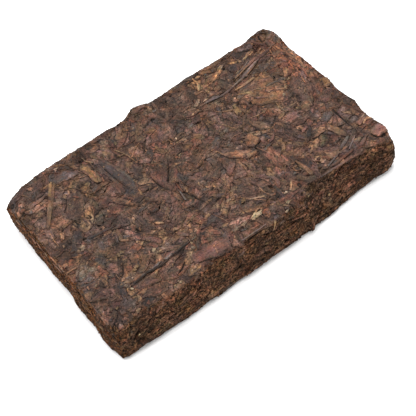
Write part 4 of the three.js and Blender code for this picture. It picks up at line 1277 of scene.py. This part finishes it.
# Stems and the strands of the twig; the thin mist strands on the twig are painted glints
STEMS = (
    (-59.5, 25.3, 24.5, 2.4, 48.6, "tan"), (-55.5, 30.6, 10, 2.2, 50, "gold"),
    (-62, 30.2, 13.5, 1.9, 2, "rose"), (-34.2, 34.3, 6.8, 0.9, -66, "straw", 0.3),
    (-46.1, -5.6, 5.8, 2, 71, "honey"), (-45.6, -9.4, 4, 1.3, -38, "sand"),
    (-29.7, -12, 4.8, 1.2, -40, "straw"), (-71.2, -7, 5, 1.1, -12, "peach"), (-53, -28.9, 9, 1.0, 6, "ink"),
    # The mist strands laid on the twig here and on the next line are painted glints
    (-45, -28.6, 10, 1.2, -5, "ink"), (-37.5, -28.2, 8, 1.0, 9, "soot"), (-43.5, -27.9, 5, 0.7, 4, "mist"),
    (-50, -28.2, 4, 0.6, -4, "mist"), (-37, -27.5, 5, 0.7, 3, "mist"), (-31, -27.7, 12, 0.9, 1, "slate"),
    (-50.5, 0.1, 13, 1.0, -8, "slate"), (27.4, 37, 9, 1.4, 76, "hay", 0.25),
    (43.5, 23.2, 12, 1.9, 3, "straw"), (35, 25, 27, 1.4, 3, "lilac", 0.1), (50, 28.6, 20, 1.4, 15, "lilac"),
    (47.5, 30.2, 12, 0.7, 17, "lilac"), (51, 30.8, 13, 0.7, 13, "plum"), (48, 27.3, 14, 0.8, 15, "peach"),
    (47.5, 29.4, 11, 0.8, 14, "peach"), (62, 31.5, 14, 1.6, 5, "wine"), (48, -36.7, 25, 1, -1.8, "rose"),
    (50, -35, 13.5, 1.6, 4, "russet"), (46.5, -33.6, 9, 0.9, 15, "mist"), (56, -29.3, 10.5, 1.7, 22, "mist"),
    (58.6, -31.4, 8, 0.9, 33, "lilac"), (53.4, -27.2, 6, 0.8, 12, "plum"), (-2.5, -40, 14, 0.7, 0, "lilac"),
    (-13.4, -6, 6.8, 1.1, 82, "mist"), (-12, -2, 6.5, 0.9, 85, "russet"),
    (34, -14.9, 7.5, 1.7, 48, "tan", 0.3), (63, -34, 7.5, 1.7, 18, "rose"),
    (20.6, -24.5, 8.5, 1.9, -72, "rose", -0.4), (34.8, -28.8, 11, 2.6, -80, "honey"),
    (31.2, -27.3, 4.8, 0.9, -60, "peach", 0.4), (40.4, -28, 6.2, 1.1, -78, "rose", 0.3),
    (-25.7, -22.2, 6, 2, -45, "rose"), (34.3, -7.6, 5, 1.3, 30, "rose"), (9.7, -28.5, 6, 1.1, -28, "straw"),
    (-11, -2, 5, 0.7, 70, "plum"), (7.2, -41.8, 4.4, 0.9, 72, "straw"), (52.5, 30.6, 13, 1.3, 8, "rose"),
    # Two more painted glints on the twig, in mist
    (-37.2, -27.8, 3.6, 1, 3, "mist"), (-42.6, -27.8, 3, 0.9, 8, "mist"), (62.5, 38, 6, 1.2, -60, "wine"),
    (46, -34.9, 6, 1, 12, "plum"), (6.4, 8, 3.4, 1.1, 85, "russet", 0.5),
)
# Small lumps
NUGGETS = (
    (-58.8, -28, 2.4, 1.7, -25, "stone"), (-57.5, -30.7, 2.3, 1, -20, "cream"),
    (-54.5, -26.5, 1.2, 1, 0, "cream"), (-50.5, -23.6, 3.4, 2.8, 0, "gold"), (17.9, -38, 2.3, 2, 0, "straw"),
    (15, -40.4, 2, 1.6, 0, "cream"), (27.3, -39.3, 1.9, 1.1, 0, "straw"), (28.5, -41.6, 1.7, 1.1, 0, "peach"),
    (25.9, -41, 1.5, 1.3, 0, "brick"), (-71.4, -41, 2.8, 2.3, 0, "rose"),
    (-66.6, -36.6, 3.2, 2.7, 20, "plum"), (-68, -39.6, 4.2, 2, 5, "rose"), (-76, -34, 3.2, 1.3, 80, "gold"),
    (-67.3, -34, 2.2, 1.3, 0, "gold"), (-70, -33, 2.2, 1.6, 30, "moss"), (-27, -5.3, 3, 2.4, 30, "slate"),
    (-62, 27.6, 1.4, 1, 0, "mist"), (-22, 27.3, 1.7, 1.4, 0, "honey"), (-20.5, 27, 1.7, 1.3, 0, "honey"),
    (-23.5, 17, 2, 1.3, 0, "rose"), (-71.5, -30.5, 2.4, 1.6, 60, "umber"),
    (-63.5, -38.5, 2.4, 1.8, 0, "wine"), (15.4, 21.6, 4.6, 4, 60, "umber"),
    (-72.5, -36.5, 2.2, 1.6, 0, "plum"), (-69, -43, 2.6, 1.8, 30, "soot"), (22.5, -38.8, 1.8, 1.3, 0, "rose"),
    (37.5, -40.5, 2, 1.4, 40, "straw"), (-61, -39.5, 3, 1.3, 5, "tan"), (1.8, -22.2, 1.2, 1, 0, "straw"),
    (-52.3, -13.6, 2.2, 1.6, 70, "tan"),
)
# Bits of the near wall
WALL_BITS = (
    # (-20, 15.5) in mist is a painted glint
    (-65, 10, 1.9, 1.5, 0, "cream"), (-20, 15.5, 3.4, 0.9, 20, "mist"), (19.2, 14, 10.5, 1, -17, "rose"),
    (25.3, 6.4, 12, 2, 81, "russet"), (40, 6, 8, 2.6, 12, "earth"), (38, 4, 4, 1.6, 30, "soot"),
    (43, 8, 3, 1.2, 20, "straw"), (-34, 15, 6, 1.6, 25, "brick"), (-28, 8, 5, 1.4, 30, "moss"),
    (-45, 12, 5, 1.6, 15, "russet"), (-10, 4.5, 5, 1.2, 20, "earth"), (5, 5, 7, 2.2, 20, "russet"),
    (8, 11, 2.4, 1.4, 0, "tan"), (16, 8, 1.8, 1.4, 0, "brick"), (-58, 5, 9, 1.2, 5, "moss"),
    (-14, 12, 4, 1, 0, "tan"), (-5, 16, 3.5, 1, 15, "brick"), (52, 14, 5, 1.4, 10, "honey"),
    (60, 8, 7, 1.8, 5, "wine"), (48, 17, 3, 1, 0, "rose"), (-70, 14, 4, 1.6, 40, "moss"),
    (-17, 13, 12, 4.4, 6, "russet"), (-3, 10, 11, 4, -5, "wine"), (-41, 13, 12, 4.2, 8, "wine"),
    (-53, 10, 10, 4, 5, "russet"), (12, 12, 12, 4.2, 0, "wine"), (30, 13, 11, 4, 5, "bark"),
    (50, 9, 12, 4.2, 0, "russet"), (-28, 5.5, 11, 4, 4, "bark"), (-64, 5, 9, 3.6, 0, "wine"),
)
# How each kind of laid bit is shaped; lengths in mm
LAID = {
    "broad_plates": {
        "side": "top", "bits": PLATES, "look": "dark leaf", "lift": 0.06, "Cells Along": 19,
        "Cells Across": 11, "Thickness": 0.12, "Ragged": 0.36, "Bluntness Low": 2.6, "Bluntness High": 5.0,
        "Wrinkle": 0.12, "Wrinkle Size": 2.4, "Curl": 0.6, "Stiffness": 4, "Torn Low": 0.7},
    "clean_plates": {
        "side": "top", "bits": CLEAN, "look": "smooth leaf", "lift": 0.1, "Cells Along": 19,
        "Cells Across": 11, "Thickness": 0.15, "Ragged": 0.3, "Bluntness Low": 2.4, "Bluntness High": 4.0,
        "Wrinkle": 0.12, "Wrinkle Size": 3.0, "Curl": 0.8, "Stiffness": 4, "Torn Low": 0.85},
    "leaf_patches": {
        "side": "top", "bits": PATCHES, "look": "dark leaf", "lift": 0.08, "Cells Along": 13,
        "Cells Across": 9, "Thickness": 0.12, "Ragged": 0.5, "Curl": 0.6, "Torn Low": 0.75},
    "curled_leaves": {
        "side": "top", "bits": CURLED, "look": "smooth leaf", "lift": 0.3, "Cells Along": 17,
        "Cells Across": 9, "Thickness": 0.18, "Ragged": 0.35, "Curl": 1.6, "Sunk": 0.5, "Wrinkle": 0.16,
        "Torn Low": 0.85},
    "pale_slivers": {
        "side": "top", "bits": SLIVERS, "look": "pale leaf", "lift": 0.08, "Cells Along": 11,
        "Cells Across": 7, "Thickness": 0.12, "Ragged": 0.6, "Curl": 0.4},
    "stems": {
        "side": "top", "bits": STEMS, "look": "stem", "lift": 0.04, "Cells Along": 27, "Cells Across": 7,
        "Thickness": 0.1, "Dome": 0.5, "Ragged": 0.18, "Bluntness Low": 7.0, "Bluntness High": 9.0,
        "Taper": 0.15, "Torn Low": 0.85, "Bend": 1.0, "Curl": 0.2, "Stiffness": 6, "Wrinkle": 0.06},
    "nuggets": {
        "side": "top", "bits": NUGGETS, "look": "pale leaf", "lift": 0.1, "Cells Along": 9, "Cells Across": 9,
        "Thickness": 0.2, "Dome": 0.35, "Ragged": 0.5, "Curl": 0.2},
    "wall_bits": {
        "side": "near", "bits": WALL_BITS, "look": "wall leaf", "lift": 0.2, "Cells Along": 15,
        "Cells Across": 7, "Thickness": 0.2, "Dome": 0.3, "Ragged": 0.35, "Curl": 0.4},
}
IN_MM = ("Thickness", "Dome", "Wrinkle", "Wrinkle Size", "Curl")


# ---------------------------------------------------------------- laying and strewing

def laid_points(bits, side, lift, seed):
    """A cloud of points that carry what the press tree needs for each bit."""
    rng = random.Random(seed)
    finder = BedFinder()
    places = []
    values = {name: [] for name in ("bit_out", "bit_along", "bit_size", "bit_rand", "bit_tint", "cast")}
    for x, y, length, width, angle, tint, *bow in bits:
        place, out = finder.find(side, x, y)
        turn = math.radians(angle)
        up = math.sin(turn)
        level = Vector((math.cos(turn), up, 0)) if side == "top" else Vector((math.cos(turn), 0, up))
        along = (level - out * level.dot(out)).normalized()
        places.append(place)
        values["bit_out"].extend(out)
        values["bit_along"].extend(along)
        values["bit_size"].extend((0.5 * length * MM, 0.5 * width * MM, lift * MM))
        values["bit_rand"].extend((rng.random(), 0.5 + 0.5 * (bow[0] if bow else 0.0), rng.random()))
        values["bit_tint"].extend(colour(tint))
        values["cast"].extend((1.0, 1.0, 1.0))
    mesh = bpy.data.meshes.new("laid_points")
    mesh.from_pydata(places, [], [])
    for name, numbers in values.items():
        kind = "FLOAT_COLOR" if name == "bit_tint" else "FLOAT_VECTOR"
        attribute = mesh.attributes.new(name, kind, "POINT")
        attribute.data.foreach_set("color" if kind == "FLOAT_COLOR" else "vector", numbers)
    return mesh


TRIES = 2.2  # places tried for each that the spacing lets stand


def layer_inputs(layer):
    """A layer's row as the inputs of the scatter tree."""
    low, high = layer["length"]
    slim_low, slim_high = layer["slimness"]
    lift_low, lift_high = layer["lift"]
    first, second, accent, share = layer["colours"]
    spacing = layer["spacing"] * MM
    values = {key: value for key, value in layer.items() if key[0].isupper()}
    values.update({
        "Spacing": spacing, "Density": TRIES * sizes().abundance / spacing ** 2,
        "Length Low": low * MM, "Length High": high * MM, "Slimness Low": slim_low,
        "Slimness High": slim_high, "Lift Low": lift_low * MM, "Lift High": lift_high * MM,
        "Dome": layer.get("dome", 0.0) * MM, "Colour A": colour(first), "Colour B": colour(second),
        "Accent": colour(accent), "Accent Share": share,
    })
    if "curl" in layer:
        values["Curl"] = layer["curl"] * MM
    return values


def tree_named(name):
    tree = bpy.data.node_groups.get(name)
    if tree is None:
        press = bpy.data.node_groups.get("Press bits") or press_tree()
        tree = {"Scatter bits": scatter_tree, "Placed bits": placed_tree}[name](press)
    return tree


def pressed_piece(name, look, base_mesh, tree, values):
    """A piece of bits that a tree presses on the skin made so far."""
    piece = grown(name, base_mesh, tree_named(tree), {
        "Bed Object": bpy.data.objects[BED], "Skin": skin_collection(), "Material": finish_named(look),
        "Press Height": sizes().press_height, "Reach": sizes().ray_reach, **values})
    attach(piece, BODY)


def laid_piece(name):
    row = LAID[name]
    values = {key: value * MM if key in IN_MM else value for key, value in row.items() if key[0].isupper()}
    points = laid_points(row["bits"], row["side"], row["lift"], sum(map(ord, name)))
    pressed_piece(name, row["look"], points, "Placed bits", values)


def strewn_piece(name):
    row = LAYERS[name]
    pressed_piece(name, row["look"], bpy.data.objects[BED].data.copy(), "Scatter bits", layer_inputs(row))


# ---------------------------------------------------------------- operators

CORE_INSET = 0.25 * MM  # how far inside the bed the core lies


class TEABRICK_OT_core(bpy.types.Operator):
    """Makes the bed that the leaves follow and the crumbly core that shows between them"""
    bl_idname = "teabrick.core"
    bl_label = "Core"

    def execute(self, context):
        s = sizes()
        bed = remade(BED, s.bed_voxel, s.bed_smoothing, s.bed_inset)
        base = remade("core_base", s.core_voxel, s.bed_smoothing, s.bed_inset + CORE_INSET)
        core = grown("pressed_core", base.data.copy(), core_tree(),
                     {"Crumble": s.crumble, "Material": finish_named("crumbled leaf")})
        bpy.data.objects.remove(base)
        bed.hide_render = True
        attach(core, BODY)
        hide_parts(NODE)
        return {"FINISHED"}


class TEABRICK_OT_underside(bpy.types.Operator):
    """Presses flat leaves on the underside"""
    bl_idname = "teabrick.underside"
    bl_label = "Underside leaves"

    def execute(self, context):
        strewn_piece("underside_leaves")
        return {"FINISHED"}


class TEABRICK_OT_top_leaves(bpy.types.Operator):
    """Strews three layers of leaves over the top"""
    bl_idname = "teabrick.top_leaves"
    bl_label = "Top leaves"

    def execute(self, context):
        for name in ("top_leaves_low", "top_leaves_middle", "top_leaves_upper"):
            strewn_piece(name)
        return {"FINISHED"}


class TEABRICK_OT_wall_flakes(bpy.types.Operator):
    """Lays flakes, fibres and crumbs along the layers of the walls"""
    bl_idname = "teabrick.wall_flakes"
    bl_label = "Wall flakes"

    def execute(self, context):
        for name in ("wall_flakes_low", "wall_flakes_high", "wall_crumbs", "wall_fibres"):
            strewn_piece(name)
        return {"FINISHED"}


class TEABRICK_OT_top_bits(bpy.types.Operator):
    """Strews fibres and crumbs over the leaves"""
    bl_idname = "teabrick.top_bits"
    bl_label = "Top shreds and crumbs"

    def execute(self, context):
        for name in ("fibres", "top_crumbs"):
            strewn_piece(name)
        return {"FINISHED"}


class TEABRICK_OT_laid_leaves(bpy.types.Operator):
    """Lays the broad plates, patches, curled leaves and pale slivers in their own places"""
    bl_idname = "teabrick.laid_leaves"
    bl_label = "Laid leaves"

    def execute(self, context):
        for name in ("broad_plates", "clean_plates", "leaf_patches", "curled_leaves", "pale_slivers"):
            laid_piece(name)
        return {"FINISHED"}


class TEABRICK_OT_stems(bpy.types.Operator):
    """Lays the stems, the twig, the nuggets and the bits of the near wall"""
    bl_idname = "teabrick.stems"
    bl_label = "Stems and nuggets"

    def execute(self, context):
        for name in ("stems", "nuggets", "wall_bits"):
            laid_piece(name)
        return {"FINISHED"}


SQUARELY = 0.5  # how squarely a place faces a side whose crevices may cut it
# What lies across the crevices and is not cut by them
LAID_OVER = ("stems", "pale_slivers", "nuggets", "wall_bits", "underside_leaves")


class TEABRICK_OT_crevices(bpy.types.Operator):
    """Sinks the crevices and holes into the leaves and the core, and marks them to be painted dark as shade
    """
    bl_idname = "teabrick.crevices"
    bl_label = "Crevices"

    def execute(self, context):
        top = Crevices(CREVICES, HOLES, lambda p: (p.x, p.y, 0.0))
        near_wall = Crevices(WALL_CREVICES, (), lambda p: (p.x, p.z, 0.0))
        for piece in skin_collection().objects:
            if piece.name not in LAID_OVER:
                carved(piece, top, lambda out: out.z > SQUARELY)
                carved(piece, near_wall, lambda out: out.y < -SQUARELY)
        return {"FINISHED"}


def area_lamp(name, at, target, size, watts):
    lamp = bpy.data.lights.new(name, "AREA")
    lamp.shape = "RECTANGLE"
    lamp.size, lamp.size_y = size
    lamp.energy = watts
    obj = linked_object(name, lamp)
    obj.location = at
    obj.rotation_euler = (Vector(target) - Vector(at)).to_track_quat("-Z", "Y").to_euler()
    return obj


def view_axes():
    """The camera's right, up and back directions."""
    back = Vector((math.sin(VIEW_AZIMUTH) * math.cos(VIEW_ELEVATION),
                   -math.cos(VIEW_AZIMUTH) * math.cos(VIEW_ELEVATION), math.sin(VIEW_ELEVATION)))
    level_right = (-back).cross(Vector((0, 0, 1))).normalized()
    level_up = level_right.cross(-back)
    right = level_right * math.cos(VIEW_ROLL) + level_up * math.sin(VIEW_ROLL)
    up = -level_right * math.sin(VIEW_ROLL) + level_up * math.cos(VIEW_ROLL)
    return right, up, back


class TEABRICK_OT_stage(bpy.types.Operator):
    """Adds the pale floor, the soft studio light and the camera"""
    bl_idname = "teabrick.stage"
    bl_label = "Stage"

    def execute(self, context):
        scene = context.scene
        floor_mesh = bpy.data.meshes.new("floor")
        corners = [(x * FLOOR_HALF, y * FLOOR_HALF, 0) for x, y in ((-1, -1), (1, -1), (1, 1), (-1, 1))]
        floor_mesh.from_pydata(corners, [], [(0, 1, 2, 3)])
        floor_mesh.materials.append(floor_material())
        linked_object("floor", floor_mesh)

        right, up, back = view_axes()
        camera = bpy.data.cameras.new("camera")
        camera.lens = LENS
        camera.sensor_width = SENSOR
        camera.clip_start = 0.01
        camera.clip_end = 50.0
        seen_from = linked_object("camera", camera)
        rotation = Matrix((right, up, back)).transposed()
        seen_from.matrix_world = Matrix.Translation(LOOK_AT + back * VIEW_DISTANCE) @ rotation.to_4x4()
        scene.camera = seen_from

        area_lamp("softbox above", SOFTBOX_AT, (0, 0, 0), SOFTBOX_SIZE, SOFTBOX_POWER)
        world = bpy.data.worlds.new("studio")
        world.use_nodes = True
        background = next(n for n in world.node_tree.nodes if n.type == "BACKGROUND")
        background.inputs["Color"].default_value = (1.0, 1.0, 1.0, 1.0)
        background.inputs["Strength"].default_value = ROOM_LIGHT
        scene.world = world
        scene.view_settings.view_transform = "Standard"
        return {"FINISHED"}


class TEABRICK_PT_panel(bpy.types.Panel):
    """Lists the steps that build the brick"""
    bl_idname = "TEABRICK_PT_panel"
    bl_label = "Tea Brick"
    bl_space_type = "VIEW_3D"
    bl_region_type = "UI"
    bl_category = "Tea Brick"

    def draw(self, context):
        layout = self.layout
        for group in (context.scene.tea_brick_sizes, context.scene.tea_brick_colours):
            for name in group.__annotations__:
                layout.prop(group, name)
        for step in STEPS:
            layout.operator(step.bl_idname)


STEPS = (TEABRICK_OT_core, TEABRICK_OT_underside, TEABRICK_OT_top_leaves, TEABRICK_OT_wall_flakes,
         TEABRICK_OT_top_bits, TEABRICK_OT_laid_leaves, TEABRICK_OT_stems, TEABRICK_OT_crevices,
         TEABRICK_OT_stage)
CLASSES = (TeaBrickSizes, TeaBrickColours, *STEPS, TEABRICK_PT_panel)


def register():
    for cls in CLASSES:
        bpy.utils.register_class(cls)
    bpy.types.Scene.tea_brick_sizes = PointerProperty(type=TeaBrickSizes)
    bpy.types.Scene.tea_brick_colours = PointerProperty(type=TeaBrickColours)


def unregister():
    del bpy.types.Scene.tea_brick_colours
    del bpy.types.Scene.tea_brick_sizes
    for cls in reversed(CLASSES):
        bpy.utils.unregister_class(cls)


def main():
    register()
    for step in STEPS:
        group, name = step.bl_idname.split(".")
        getattr(getattr(bpy.ops, group), name)()
    bpy.data.objects.remove(bpy.data.objects[BED])


if __name__ == "__main__":
    main()
